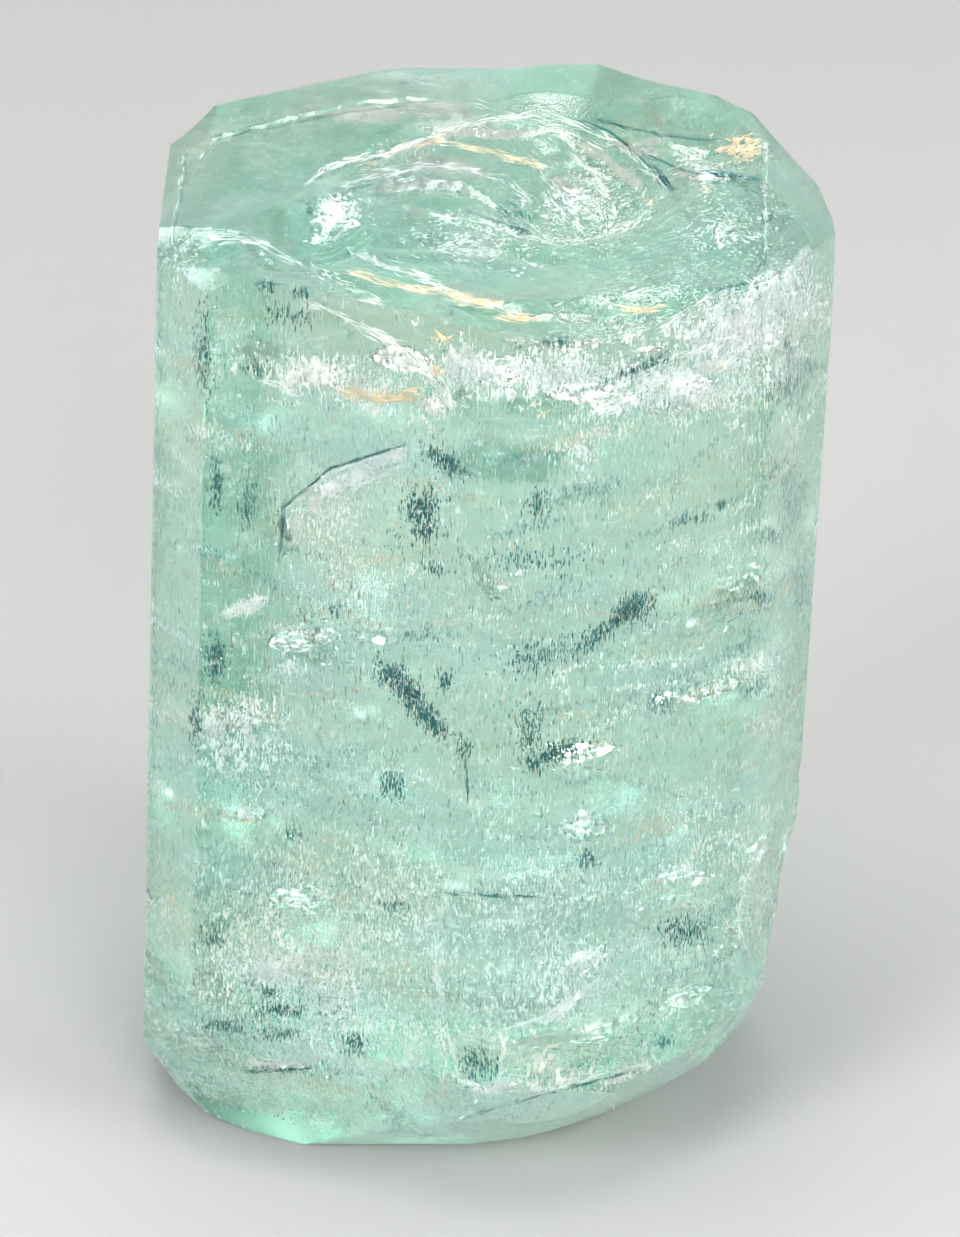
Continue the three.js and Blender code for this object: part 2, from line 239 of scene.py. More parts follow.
# Bigger white bits among those: flakes down the walls, and painted highlights under the rim and the top
WHITE_LUMPS_AND_HIGHLIGHTS = [
    (334, 212, 12, 14, 0, 1.6), (348, 220, 12, 8, 0, 1.6), (328, 228, 14, 12, -30, 1.4),
    (345, 200, 10, 8, 20, 1.3), (446, 218, 11, 5, 0, 1.6), (691, 157, 13, 6, -10, 1.5),
    (700, 165, 26, 8, -15, 0.8), (581, 196, 14, 8, -30, 0.8), (565, 205, 12, 12, -40, 0.9),
    (610, 225, 14, 6, 10, 0.9), (520, 268, 14, 8, -10, 0.7), (730, 240, 12, 10, 0, 0.7),
    (312, 371, 20, 9, -8, 1.3), (403, 363, 11, 11, -40, 1.4), (432, 406, 18, 7, -35, 1.6),
    (467, 366, 18, 15, 0, 1.6), (553, 379, 20, 7, 5, 1.2), (735, 335, 44, 26, 15, 1.8),
    (805, 300, 18, 34, 60, 1.4), (790, 365, 22, 20, 0, 1.0), (700, 332, 30, 14, 0, 1.1),
    (765, 285, 26, 16, 30, 1.2), (452, 358, 14, 14, 0, 1.2), (505, 395, 22, 6, 0, 1.5),
    (612, 405, 26, 5, 4, 1.6), (560, 352, 30, 6, 4, 1.0), (300, 380, 44, 5, -10, 1.3),
    (362, 406, 30, 4, -12, 1.3), (422, 420, 14, 5, -32, 1.5), (650, 380, 34, 5, 16, 1.5),
    (735, 425, 26, 5, -6, 1.0), (795, 420, 20, 8, 0, 0.8), (690, 372, 34, 7, 12, 1.1),
    (500, 372, 30, 14, 0, 0.5), (213, 724, 12, 12, 0, 1.3), (240, 745, 34, 22, 0, 0.6),
    (269, 971, 13, 10, -15, 1.3), (247, 812, 10, 4, -10, 1.6), (755, 665, 24, 9, 12, 0.9),
    (766, 724, 14, 8, 0, 0.9), (583, 818, 8, 6, 0, 1.2), (767, 811, 10, 6, 0, 1.2),
    (344, 959, 5, 12, 10, 1.2), (354, 1014, 8, 4, 10, 1.5), (619, 1077, 15, 3, 22, 1.8),
    (500, 1090, 24, 5, 16, 2.0), (560, 1082, 40, 8, 14, 1.2), (540, 1058, 24, 18, 0, 0.9),
    (640, 1068, 16, 4, 20, 1.5), (770, 940, 14, 30, 0, 0.5), (755, 875, 10, 14, -30, 0.7),
    (310, 965, 34, 22, 0, 0.4), (292, 667, 10, 7, 0, 0.7), (577, 452, 14, 6, 0, 0.8),
    (683, 866, 6, 8, 0, 1.0), (590, 960, 12, 8, 0, 0.8),
]
# Painted dark reflection: dark bits where the crystal mirrors its dark surroundings
DARK_REFLECTION_CLUSTERS = [
    (416, 81, 26, 7, 5, 0.9), (245, 110, 3, 3, 0, 1.5), (283, 103, 4, 3, 0, 1.5),
    (298, 108, 4, 3, 0, 1.2), (365, 116, 9, 3, 0, 0.9), (271, 191, 7, 3, 0, 1.0),
    (226, 236, 7, 3, 0, 1.3), (309, 210, 4, 7, 0, 1.0), (508, 216, 12, 8, -20, 0.9),
    (516, 228, 10, 4, -30, 0.9), (202, 355, 9, 42, 0, 0.7), (266, 285, 10, 8, 0, 0.7),
    (301, 293, 12, 6, 0, 0.6), (287, 317, 20, 10, 0, 0.5), (255, 368, 14, 8, 0, 0.7),
    (558, 340, 26, 8, 0, 0.5), (640, 368, 34, 7, 22, 0.7), (788, 348, 4, 13, 0, 1.4),
    (807, 366, 16, 7, 0, 1.1), (793, 392, 17, 22, 0, 1.1), (445, 461, 24, 9, -38, 1.2),
    (422, 507, 16, 18, 0, 1.1), (425, 532, 13, 10, 0, 1.0), (216, 484, 6, 22, 0, 1.1),
    (249, 504, 9, 22, 0, 0.5), (435, 570, 12, 6, -20, 0.7), (216, 657, 10, 26, 0, 0.9),
    (195, 723, 6, 26, 0, 1.0), (408, 694, 34, 10, -48, 1.5), (432, 722, 20, 9, -40, 1.2),
    (392, 675, 16, 10, -10, 1.0), (445, 682, 8, 11, 0, 0.8), (463, 750, 9, 12, 0, 0.7),
    (392, 785, 13, 13, 0, 1.0), (336, 609, 6, 9, 0, 0.5), (633, 608, 24, 11, 35, 1.6),
    (600, 634, 34, 7, 38, 0.9), (559, 752, 24, 8, 22, 1.4), (534, 762, 12, 8, 0, 0.8),
    (539, 505, 10, 14, 0, 0.7), (791, 497, 11, 40, 0, 0.9), (773, 537, 14, 10, 0, 0.7),
    (801, 588, 10, 30, 0, 0.8), (760, 597, 13, 9, 0, 0.9), (689, 520, 20, 5, 10, 0.6),
    (720, 505, 5, 4, 0, 1.8), (530, 560, 60, 12, 0, 0.2), (768, 690, 24, 9, 0, 0.7),
    (661, 702, 12, 9, 0, 0.6), (530, 730, 14, 26, 0, 0.5), (540, 655, 40, 14, 15, 0.35),
    (269, 991, 7, 6, 0, 1.3), (225, 1026, 20, 9, -10, 0.8), (279, 1010, 26, 9, -5, 0.8),
    (279, 1034, 20, 6, 0, 0.7), (354, 1043, 14, 11, 0, 0.9), (212, 937, 14, 16, 0, 0.5),
    (391, 904, 14, 5, -10, 0.7), (294, 835, 9, 7, 0, 0.7), (588, 859, 9, 9, 0, 0.8),
    (685, 933, 24, 17, 0, 0.7), (660, 1043, 17, 8, 0, 0.6), (478, 1064, 17, 17, 0, 0.8),
    (272, 1069, 32, 2, -8, 1.0),
]

# Cracks that show: the pixel across and down, depth, two radii, the compass angle and height that the
# crack faces, its turn, and how crumpled it is
SEEN_CRACKS = [
    (286, 530, 1.0, (0.7, 1.4), -60, 20, 0, 0.1), (740, 340, 1.2, (3.6, 2.2), 20, 58, 0, 0.35),
    (790, 300, 1.0, (1.8, 2.8), 50, 40, 20, 0.3), (690, 385, 1.5, (3.2, 1.6), 10, 60, 0, 0.3),
    (590, 395, 1.6, (3.4, 1.5), 0, 62, 0, 0.3), (500, 372, 1.2, (2.8, 1.7), -10, 55, 0, 0.35),
    (400, 360, 1.2, (2.6, 1.5), -20, 55, -20, 0.3), (315, 375, 1.0, (2.2, 1.1), -15, 58, 0, 0.3),
    (340, 215, 1.2, (1.6, 2.0), 20, 75, 0, 0.3), (400, 190, 2.0, (3.2, 2.4), 0, 84, 0, 0.3),
    (470, 250, 1.5, (3.2, 2.0), 20, 80, 0, 0.3), (580, 190, 1.5, (2.4, 3.4), 40, 72, 30, 0.4),
    (560, 240, 1.2, (2.6, 1.2), -20, 76, 0, 0.3), (640, 150, 1.2, (2.2, 1.8), 60, 70, 0, 0.3),
    (700, 165, 1.2, (2.4, 1.6), 30, 75, 0, 0.35), (730, 235, 1.2, (1.6, 2.2), -30, 70, 0, 0.35),
    (430, 110, 1.5, (3.4, 1.4), 180, 80, 0, 0.3), (640, 330, 1.8, (4.6, 1.7), 0, 70, 0, 0.3),
    (560, 320, 1.6, (2.8, 1.2), 10, 74, 0, 0.25), (720, 610, 2.8, (4.6, 2.0), -30, 44, 10, 0.35),
    (700, 690, 2.2, (5.0, 1.4), 10, 64, 10, 0.3), (580, 755, 2.0, (3.0, 1.2), 0, 60, 15, 0.3),
    (760, 850, 1.6, (2.4, 1.6), 30, 50, 0, 0.3), (300, 640, 1.6, (3.2, 1.5), -25, 56, 0, 0.35),
    (240, 720, 1.4, (2.4, 1.6), -30, 52, 0, 0.35), (250, 815, 1.2, (1.8, 0.8), -20, 56, 0, 0.25),
    (580, 830, 1.8, (2.4, 1.2), 10, 58, 0, 0.3), (680, 880, 2.2, (3.0, 1.6), 10, 55, 0, 0.35),
    (300, 900, 2.2, (3.4, 1.6), -20, 60, 0, 0.35), (275, 985, 1.3, (2.6, 1.4), -20, 52, -10, 0.35),
    (335, 1010, 1.5, (1.8, 1.2), -10, 50, 20, 0.35), (285, 1066, 1.0, (2.4, 0.8), -20, 58, -8, 0.2),
    (590, 960, 1.6, (2.0, 1.4), 5, 50, 20, 0.35), (680, 1000, 1.8, (3.2, 1.6), 15, 56, 20, 0.35),
    (740, 930, 1.6, (2.0, 1.8), 40, 40, 0, 0.3), (600, 1040, 2.2, (3.4, 1.2), 0, 66, 15, 0.25),
]
HIDDEN_CRACKS = 78  # more cracks, anywhere in the crystal
HIDDEN_DEPTHS = (1.5, 12)
HIDDEN_RADII = ((1.5, 4.5), (0.8, 2.8))
HIDDEN_CRUMPLE = (0.15, 0.45)
SHEET_SHARE = 0.6  # how much of a crack's extent is one gap; the rest is a veil of small ones
SHEET_SHRINK = 0.82  # what is left of a gap's radii each time that it is made smaller
CRACK_GAP = 0.04  # how far a crack stands open in its middle
CRACK_MESH = (8, 30)  # rings and sectors of a crack's mesh
VEIL_BITS = 13  # small gaps for each square millimetre of a veil's two radii
VEIL_LEAST = 12
VEIL_SIZES = (0.14, 0.55)

# Level streaks of bits: the views from which they are strewn, in degrees, and their pixels there
WISP_SIDES = (0, 72, 144, 216, 288)
WISP_ACROSS = (185, 835)
WISP_DOWN = (400, 1110)
WISP_LEVEL = 420  # the pixel across where they are level
WISP_BEND = 18  # pixels across for each degree that they tilt more
WISP_HALF_WIDTHS = (14, 60)
WISP_HALF_HEIGHTS = (3, 8)
WISP_AMOUNTS = (0.4, 1.8)
WISP_AREA = 0.22  # bits for each pixel of area
WISP_DEPTHS = (0.08, 0.7)
WISP_LENGTHS = (0.12, 0.45)

# Upright growth tubes and pale motes
TOP_CLEAR = 49.6  # above this height the crystal holds few growth tubes
TUBE_LENGTHS = (0.12, 0.7)
MILK_MOTES = 16000
MILK_DEPTHS = (2.5, 17)
FROST_MOTES = 13000  # motes close under the surface of the foot
FROST_DEPTHS = (0.3, 3.5)
MOTE_WIDTHS = (0.08, 0.24)

# Lines by the photograph's pixels: the line, how far its bits stray in pixels, how thick they are in
# millimetres, and how many there are
SEAM_BITS = 0.45  # bits for each pixel of a line
SEAM_DEPTHS = (0.07, 0.2)
SEAM_LENGTHS = (0.3, 1.6)
# White lines: painted highlights along the edges and steps of the top and the rim, and white streaks of the
# wing flake and lower in the crystal
WHITE_SEAMS_AND_HIGHLIGHTS = [
    ([(306, 183), (328, 167), (381, 154), (435, 135), (475, 122), (529, 115)], 2.0, 0.12, 1.2),
    ([(328, 191), (368, 178), (421, 167), (462, 167), (502, 178), (530, 200)], 2.0, 0.10, 1.0),
    ([(344, 248), (381, 264), (435, 282), (448, 290)], 2.5, 0.16, 1.5),
    ([(204, 237), (261, 242), (301, 264), (341, 283), (381, 301)], 3.0, 0.12, 1.3),
    ([(300, 300), (345, 318), (380, 335), (400, 352)], 2.5, 0.10, 0.9),
    ([(368, 331), (408, 352), (440, 385), (451, 406)], 3.0, 0.14, 1.4),
    ([(266, 382), (280, 386), (295, 395)], 2.0, 0.14, 1.5),
    ([(597, 408), (650, 387), (702, 374), (740, 352)], 4.0, 0.14, 1.6),
    ([(608, 392), (650, 366), (691, 352), (730, 338)], 3.0, 0.10, 1.0),
    ([(526, 238), (563, 245), (597, 238), (629, 228), (655, 204)], 2.0, 0.10, 1.2),
    ([(558, 117), (608, 136), (634, 157), (650, 172), (668, 188)], 2.0, 0.10, 1.2),
    ([(766, 139), (766, 200), (765, 259)], 1.0, 0.06, 1.5),
    ([(430, 253), (452, 243), (470, 236)], 1.5, 0.10, 1.2),
    ([(462, 215), (500, 228), (529, 240)], 1.5, 0.08, 1.0),
    ([(545, 196), (565, 214), (587, 233)], 2.5, 0.12, 1.6),
    ([(571, 157), (590, 168), (608, 180)], 2.5, 0.12, 1.4),
    ([(540, 175), (560, 192), (575, 208)], 2.5, 0.10, 1.2),
    ([(600, 190), (612, 205), (618, 222)], 2.0, 0.10, 1.2),
    ([(470, 105), (520, 118), (560, 128), (600, 150)], 4.0, 0.08, 0.6),
    ([(215, 140), (205, 150), (198, 160)], 1.5, 0.08, 1.0), ([(205, 143), (235, 137)], 1.5, 0.06, 1.0),
    ([(640, 250), (700, 235), (740, 205)], 4.0, 0.08, 0.6),
    ([(600, 300), (660, 285), (720, 262)], 5.0, 0.08, 0.7),
    ([(660, 330), (720, 300), (765, 268)], 4.0, 0.10, 0.9),
    ([(835, 245), (845, 225), (852, 215)], 2.0, 0.12, 1.2),
    ([(186, 150), (178, 200), (168, 232)], 1.5, 0.08, 0.8),
    ([(402, 449), (343, 468), (330, 473), (284, 510)], 0.7, 0.07, 2.2),
    ([(402, 449), (401, 466), (351, 490)], 0.8, 0.06, 1.8),
    ([(223, 614), (245, 604), (267, 596)], 1.0, 0.08, 2.0), ([(246, 616), (256, 598)], 1.0, 0.06, 1.4),
    ([(243, 1066), (310, 1062)], 2.0, 0.12, 2.0),
    ([(465, 1115), (540, 1092), (640, 1065)], 2.0, 0.08, 0.9),
    ([(757, 858), (742, 890), (738, 925), (752, 960), (775, 985)], 1.2, 0.08, 1.4),
    ([(742, 890), (770, 900), (800, 890)], 1.2, 0.07, 1.2),
    ([(745, 935), (775, 930), (800, 945)], 1.5, 0.07, 1.2),
    ([(502, 1030), (540, 1018), (575, 1000)], 1.0, 0.08, 1.6),
    ([(545, 1020), (570, 1003), (590, 985)], 2.0, 0.10, 1.6),
    ([(440, 905), (437, 970), (440, 1035)], 3.0, 0.08, 0.9),
    ([(448, 1035), (462, 1080), (494, 1092)], 1.2, 0.06, 1.2),
    ([(494, 1092), (505, 1050), (500, 1030)], 1.2, 0.06, 1.2),
]
# Dark lines: painted shade along the edges and steps of the top and the rim, and the wing flake's own dark
# edge
DARK_SEAMS_AND_SHADE = [
    ([(212, 140), (260, 130), (354, 111), (408, 106)], 0.7, 0.06, 1.4),
    ([(597, 120), (663, 136), (728, 141)], 1.0, 0.08, 1.5),
    ([(642, 154), (691, 173), (728, 175), (759, 180)], 1.2, 0.09, 1.6),
    ([(558, 112), (608, 131), (634, 152), (650, 167), (668, 183)], 0.8, 0.08, 1.3),
    ([(654, 168), (664, 180), (672, 190)], 2.0, 0.14, 2.5),
    ([(718, 289), (745, 282), (767, 262)], 1.6, 0.12, 2.0),
    ([(462, 210), (500, 222), (529, 232)], 1.0, 0.08, 1.2),
    ([(307, 187), (330, 171), (381, 158)], 1.0, 0.05, 0.8),
    ([(335, 196), (370, 184), (420, 173)], 1.0, 0.05, 0.8),
    ([(346, 252), (381, 268), (433, 286)], 0.8, 0.06, 1.0),
    ([(500, 200), (515, 212), (530, 226)], 3.0, 0.09, 1.4),
    ([(720, 168), (740, 185), (760, 192)], 3.0, 0.09, 1.4),
    ([(774, 140), (772, 200), (770, 256)], 1.0, 0.05, 0.8), ([(235, 112), (250, 108)], 1.0, 0.05, 0.8),
    ([(188, 150), (180, 205), (172, 240)], 1.0, 0.06, 0.9),
    ([(740, 195), (765, 215), (770, 245)], 4.0, 0.08, 1.0),
    ([(243, 1072), (275, 1071), (310, 1068)], 1.0, 0.08, 1.5),
    ([(467, 772), (468, 798)], 0.6, 0.06, 1.5),
    ([(462, 1118), (540, 1096), (640, 1069)], 1.0, 0.06, 0.9),
    ([(440, 893), (500, 896), (540, 897)], 1.0, 0.06, 0.9),
    ([(404, 445), (345, 464), (330, 469), (282, 508)], 0.7, 0.05, 1.6),
    ([(284, 512), (281, 545)], 1.0, 0.06, 1.6),
]
OCHRE_SEAMS = [
    ([(435, 140), (488, 151), (542, 167)], 2.0, 0.12, 1.8),
    ([(352, 272), (408, 288), (448, 293), (488, 304)], 2.0, 0.16, 2.2),
    ([(438, 332), (446, 341), (452, 338)], 1.5, 0.12, 1.5),
    ([(345, 391), (381, 397), (415, 396)], 3.5, 0.18, 2.0),
    ([(622, 306), (642, 310), (662, 307)], 2.0, 0.14, 1.6), ([(503, 315), (535, 321)], 2.5, 0.16, 2.0),
    ([(360, 170), (400, 150), (440, 138)], 2.0, 0.08, 0.9), ([(452, 297), (500, 303)], 3.0, 0.2, 3.0),
]

# Clusters of stains and needles, written like the white ones
OCHRE_CLUSTERS = [
    (735, 225, 40, 40, 0, 0.15), (741, 149, 22, 15, 0, 0.5), (470, 297, 24, 5, -14, 2.2),
    (492, 303, 10, 4, 0, 1.8), (519, 318, 18, 4, -3, 1.8), (380, 281, 30, 2, -20, 1.2),
    (438, 339, 9, 3, 0, 1.5), (435, 370, 10, 9, 0, 0.9), (376, 394, 36, 6, -6, 0.9),
    (707, 188, 10, 8, 0, 1.1), (650, 203, 5, 4, 0, 2.0), (642, 309, 20, 4, 8, 0.8),
    (465, 146, 32, 3, -15, 1.0), (520, 162, 26, 3, -22, 1.0), (535, 160, 20, 3, -20, 0.6),
    (400, 140, 24, 3, 12, 0.4), (232, 322, 20, 10, 0, 0.4), (538, 410, 7, 12, 0, 0.6),
    (680, 148, 24, 12, -25, 0.25), (600, 250, 40, 10, 0, 0.2), (713, 368, 8, 4, 0, 0.8),
    (540, 1052, 3, 3, 0, 1.0), (257, 637, 12, 14, 0, 0.3), (250, 822, 12, 4, 0, 0.6),
    (365, 1020, 12, 3, 15, 0.6),
]
OCHRE_PATCHES = [
    (741, 149, 19, 12, 0, 3.2), (470, 297, 18, 3, -14, 1.6), (495, 303, 8, 3, 0, 2.0),
    (385, 396, 26, 4, -6, 1.2), (519, 318, 12, 3, -3, 1.6), (707, 188, 6, 6, 0, 1.0),
    (650, 203, 3, 3, 0, 2.5), (642, 309, 14, 3, 8, 1.0), (436, 372, 7, 7, 0, 1.0),
    (713, 368, 6, 3, 0, 1.2),
]
BROWN_CLUSTERS = [
    (302, 618, 8, 8, 0, 0.5), (313, 639, 5, 5, 0, 0.8), (319, 653, 3, 3, 0, 0.8),
    (265, 667, 3, 5, 0, 1.0), (338, 697, 13, 12, 0, 0.35), (364, 718, 6, 9, 0, 0.5),
    (220, 746, 4, 4, 0, 0.8), (228, 764, 4, 5, 0, 0.8), (328, 764, 4, 5, 0, 0.6),
    (356, 678, 3, 3, 0, 0.9), (343, 805, 8, 10, 0, 0.5), (372, 820, 5, 8, 0, 0.4),
    (401, 845, 4, 4, 0, 0.8), (338, 580, 40, 40, 0, 0.03), (380, 640, 40, 60, 0, 0.03),
    (320, 720, 40, 60, 0, 0.03),
]


def to_frame(points):
    """Points in millimetres from the axis foot, as metres in the frame."""
    points = np.asarray(points, float)
    return (points + np.array([AXIS_FOOT[0], AXIS_FOOT[1], 0.0])) * MM


# Noise

def lattice(ix, iy, seed):
    """A repeatable value from 0 to 1 for each whole-numbered place."""
    h = (ix * 374761393 + iy * 668265263 + seed * 974634777) & 0xFFFFFFFF
    h = ((h ^ (h >> 13)) * 1274126177) & 0xFFFFFFFF
    h = h ^ (h >> 16)
    return (h & 0xFFFFFF) / float(0xFFFFFF)


def noise(x, y, seed):
    """Smooth value noise from -1 to 1."""
    x, y = np.broadcast_arrays(np.asarray(x, float), np.asarray(y, float))
    ix, iy = np.floor(x).astype(np.int64), np.floor(y).astype(np.int64)
    fx, fy = x - ix, y - iy
    sx, sy = fx * fx * (3 - 2 * fx), fy * fy * (3 - 2 * fy)
    low = lattice(ix, iy, seed) * (1 - sx) + lattice(ix + 1, iy, seed) * sx
    high = lattice(ix, iy + 1, seed) * (1 - sx) + lattice(ix + 1, iy + 1, seed) * sx
    return 2 * (low * (1 - sy) + high * sy) - 1


def layered(x, y, seed, layers=4):
    """Noise with finer and fainter layers added."""
    total, size = 0.0, 0.0
    for i in range(layers):
        share = 0.5 ** i
        total = total + share * noise(x * 2 ** i, y * 2 ** i, seed + 17 * i)
        size += share
    return total / size


def terraces(value, steps, sharpness=0.8):
    """Turns a smooth field into ledges with short steep steps between them."""
    scaled = value * steps
    base = np.floor(scaled)
    rest = scaled - base
    edge = np.clip((rest - sharpness) / (1 - sharpness), 0, 1)
    return (base + edge * edge * (3 - 2 * edge)) / steps


# Mesh helpers

def unit(vectors):
    """The vectors at length 1."""
    vectors = np.asarray(vectors, float)
    return vectors / np.linalg.norm(vectors, axis=1)[:, None]


def new_object(name, points, faces, material=None):
    """A mesh object from points in millimetres from the axis foot."""
    mesh = bpy.data.meshes.new(name)
    mesh.from_pydata(to_frame(points).tolist(), [], faces)
    mesh.validate()
    mesh.update()
    if material:
        mesh.materials.append(material)
    obj = bpy.data.objects.new(name, mesh)
    bpy.context.scene.collection.objects.link(obj)
    return obj


def carve(target, tool, operation):
    """Applies one boolean operation to the target and removes the tool."""
    modifier = target.modifiers.new("carve", "BOOLEAN")
    modifier.operation = operation
    modifier.solver = "MANIFOLD"
    modifier.object = tool
    graph = bpy.context.evaluated_depsgraph_get()
    carved = bpy.data.meshes.new_from_object(target.evaluated_get(graph))
    if len(carved.polygons) == 0:
        raise RuntimeError("the cut left nothing: " + tool.name)
    target.modifiers.clear()
    old, target.data = target.data, carved
    bpy.data.meshes.remove(old)
    tool_mesh = tool.data
    bpy.data.objects.remove(tool)
    bpy.data.meshes.remove(tool_mesh)


def aim(points, at, direction):
    """Turns points' +Z to the direction and moves them into place."""
    turn = Vector((0, 0, 1)).rotation_difference(Vector(direction).normalized())
    matrix = np.array(turn.to_matrix())
    return points @ matrix.T + np.array(at, float)


def grid_block(name, cell, upper, lower):
    """A closed block over the whole section between two height functions of x and y."""
    n = int(round(2 * REACH / cell)) + 1
    line = np.linspace(-REACH, REACH, n)
    x, y = [a.ravel() for a in np.meshgrid(line, line)]
    points = np.concatenate([np.stack([x, y, upper(x, y)], 1), np.stack([x, y, lower(x, y)], 1)])
    faces = []
    for j in range(n - 1):
        for i in range(n - 1):
            a = j * n + i
            b = a + n * n
            faces.append((a, a + 1, a + n + 1, a + n))
            faces.append((b, b + n, b + n + 1, b + 1))
    rim = list(range(n)) + [j * n + n - 1 for j in range(1, n)]
    rim += [(n - 1) * n + i for i in range(n - 2, -1, -1)] + [j * n for j in range(n - 2, 0, -1)]
    for a, b in zip(rim, rim[1:] + rim[:1]):
        faces.append((b, a, a + n * n, b + n * n))
    return new_object(name, points, faces)


# The crystal's surface

def striation(s, z, strength):
    """Depth of the upright growth lines, from 0 at the flat face inward, in millimetres."""
    fine = layered(s / 0.62, z / 6.0, 11, 2)
    broad = noise(s / 3.1, z / 18.0, 23)
    swell = noise(s / 6.5, z / 7.0, 29)
    step = terraces(0.5 + 0.5 * noise(s / 1.7, z / 40.0, 31), 3, 0.75)
    depth = 0.011 * (1 + fine) + 0.02 * (1 + broad) + 0.05 * (1 + swell) + 0.03 * step
    return 0.012 + strength * depth


def section():
    """The cross-section's outline in small steps: points, distance along it and line strength.
    Its edges are rounded a little, and the front ones a lot."""
    ring, along, strengths = [], [], []
    travelled = 0.0
    for i, (_, x, y, _, strength) in enumerate(CORNERS):
        nx, ny = CORNERS[(i + 1) % len(CORNERS)][1:3]
        length = math.hypot(nx - x, ny - y)
        count = max(2, int(round(length / COLUMN)))
        for k in range(count):
            t = k / count
            ring.append((x + (nx - x) * t, y + (ny - y) * t))
            along.append(travelled + length * t)
            strengths.append(strength * min(1.0, 0.25 + 6 * t, 0.25 + 6 * (1 - t)))
        travelled += length
    ring = np.array(ring)
    soft = np.full(len(ring), 0.04)
    for x, y in SOFT_EDGES:
        near = np.hypot(ring[:, 0] - x, ring[:, 1] - y)
        soft = np.maximum(soft, np.clip(1.3 - near / 5, 0, 1))
    for _ in range(SOFTENING):
        middle = (np.roll(ring, 1, 0) + np.roll(ring, -1, 0)) / 2
        ring = ring + 0.5 * soft[:, None] * (middle - ring)
    return ring, np.array(along), np.array(strengths)


def wall():
    """The leaning prism with its growth lines, taller than the crystal at both ends."""
    ring, along, strengths = section()
    way = unit(np.roll(ring, -1, 0) - np.roll(ring, 1, 0))
    inward = np.column_stack([-way[:, 1], way[:, 0]])
    rows = int(round((HEIGHT + TOP_SPARE + 1) / LEVEL)) + 1
    levels = np.linspace(-1.0, HEIGHT + TOP_SPARE, rows)
    points = []
    for z in levels:
        depth = striation(along, z, strengths)
        row = ring + inward * depth[:, None]
        points.append(np.column_stack([row[:, 0] + LEAN * z, row[:, 1], np.full(len(row), z)]))
    n = len(ring)
    faces = []
    for j in range(len(levels) - 1):
        for i in range(n):
            a, b = j * n + i, j * n + (i + 1) % n
            faces.append((a, b, b + n, a + n))
    faces.append(tuple(range(n - 1, -1, -1)))
    faces.append(tuple((len(levels) - 1) * n + i for i in range(n)))
    return new_object("crystal_surface", np.concatenate(points), faces)


def foot_planes():
    """The planes of the foot's bevels, from the hull of the corners, foot points and outline."""
    cloud = bmesh.new()
    for _, x, y, foot, _ in CORNERS:
        for z in (foot, HEIGHT + TOP_SPARE):
            cloud.verts.new((x + LEAN * z, y, z))
    for point in FOOT_POINTS + [(x, y, 0.0) for x, y in REST_OUTLINE]:
        cloud.verts.new(point)
    hull = bmesh.ops.convex_hull(cloud, input=cloud.verts)
    planes = []
    for face in [g for g in hull["geom"] if isinstance(g, bmesh.types.BMFace)]:
        face.normal_update()
        if face.normal.z < -0.05:
            planes.append((*face.normal, face.normal.dot(face.verts[0].co)))
    cloud.free()
    return planes


def foot_height(planes):
    """Height of the foot's surface over x and y, with the roughness of a broken face."""
    def height(x, y):
        low = np.zeros_like(x)
        for nx, ny, nz, d in planes:
            low = np.maximum(low, (d - nx * x - ny * y) / nz)
        rise = np.clip(low / 1.2, 0, 1)
        rough = 0.10 * layered(x / 4.2, y / 4.2, 53, 3) + 0.05 * layered(x / 1.3, y / 1.3, 59, 3)
        ledges = 0.16 * terraces(0.5 + 0.5 * noise(x / 5 + 3, y / 5, 61), 5, 0.8)
        return np.minimum(low + rise * (0.12 + np.abs(rough) + ledges), HEIGHT / 2)
    return height


def line_distance(x, y, line):
    """Distance to a line of points, positive on the right of its way, and how far along it is."""
    best = np.full_like(x, 1e9)
    side, share = np.zeros_like(x), np.zeros_like(x)
    for k, ((ax, ay), (bx, by)) in enumerate(zip(line, line[1:])):
        dx, dy = bx - ax, by - ay
        t = np.clip(((x - ax) * dx + (y - ay) * dy) / (dx * dx + dy * dy), 0, 1)
        away = np.hypot(x - ax - t * dx, y - ay - t * dy)
        nearer = away < best
        best = np.where(nearer, away, best)
        side = np.where(nearer, np.sign((x - ax) * dy - (y - ay) * dx), side)
        share = np.where(nearer, (k + t) / (len(line) - 1), share)
    return best * side, share


def name_seed(name):
    return sum(ord(c) for c in name)


def ripples(x, y, r, size, seed):
    """Curved ripples and fine radial lines round the point where a shell-shaped break began."""
    start = 2 * math.pi * ((seed % 17) / 17)
    from_x, from_y = x - 0.8 * size * math.cos(start), y - 0.8 * size * math.sin(start)
    far = np.hypot(from_x, from_y)
    bend = 0.6 * layered(x / 2.4, y / 2.4, seed, 3)
    waves = np.sin(2 * math.pi * (far + bend) / (0.16 * size + 0.5))
    hackle = layered(np.arctan2(from_y, from_x) * 9, far / 5, seed + 5, 3)
    return np.clip(1 - r ** 4, 0, 1) * (waves + 0.9 * hackle)


def dish_floor(x, y, at, opens, radii, depth, turn, floor, ripple, seed):
    """Height of a dish's floor over x and y, for a dish that opens nearly straight up."""
    angle = math.radians(turn)
    px, py = x - at[0], y - at[1]
    u = (px * math.cos(angle) + py * math.sin(angle)) / radii[0]
    v = (py * math.cos(angle) - px * math.sin(angle)) / radii[1]
    r = np.hypot(u, v)
    tilt = (opens[0] * px + opens[1] * py) / opens[2]
    return at[2] - tilt - depth * (1 - r ** floor) + ripple * ripples(px, py, r, max(radii), seed)


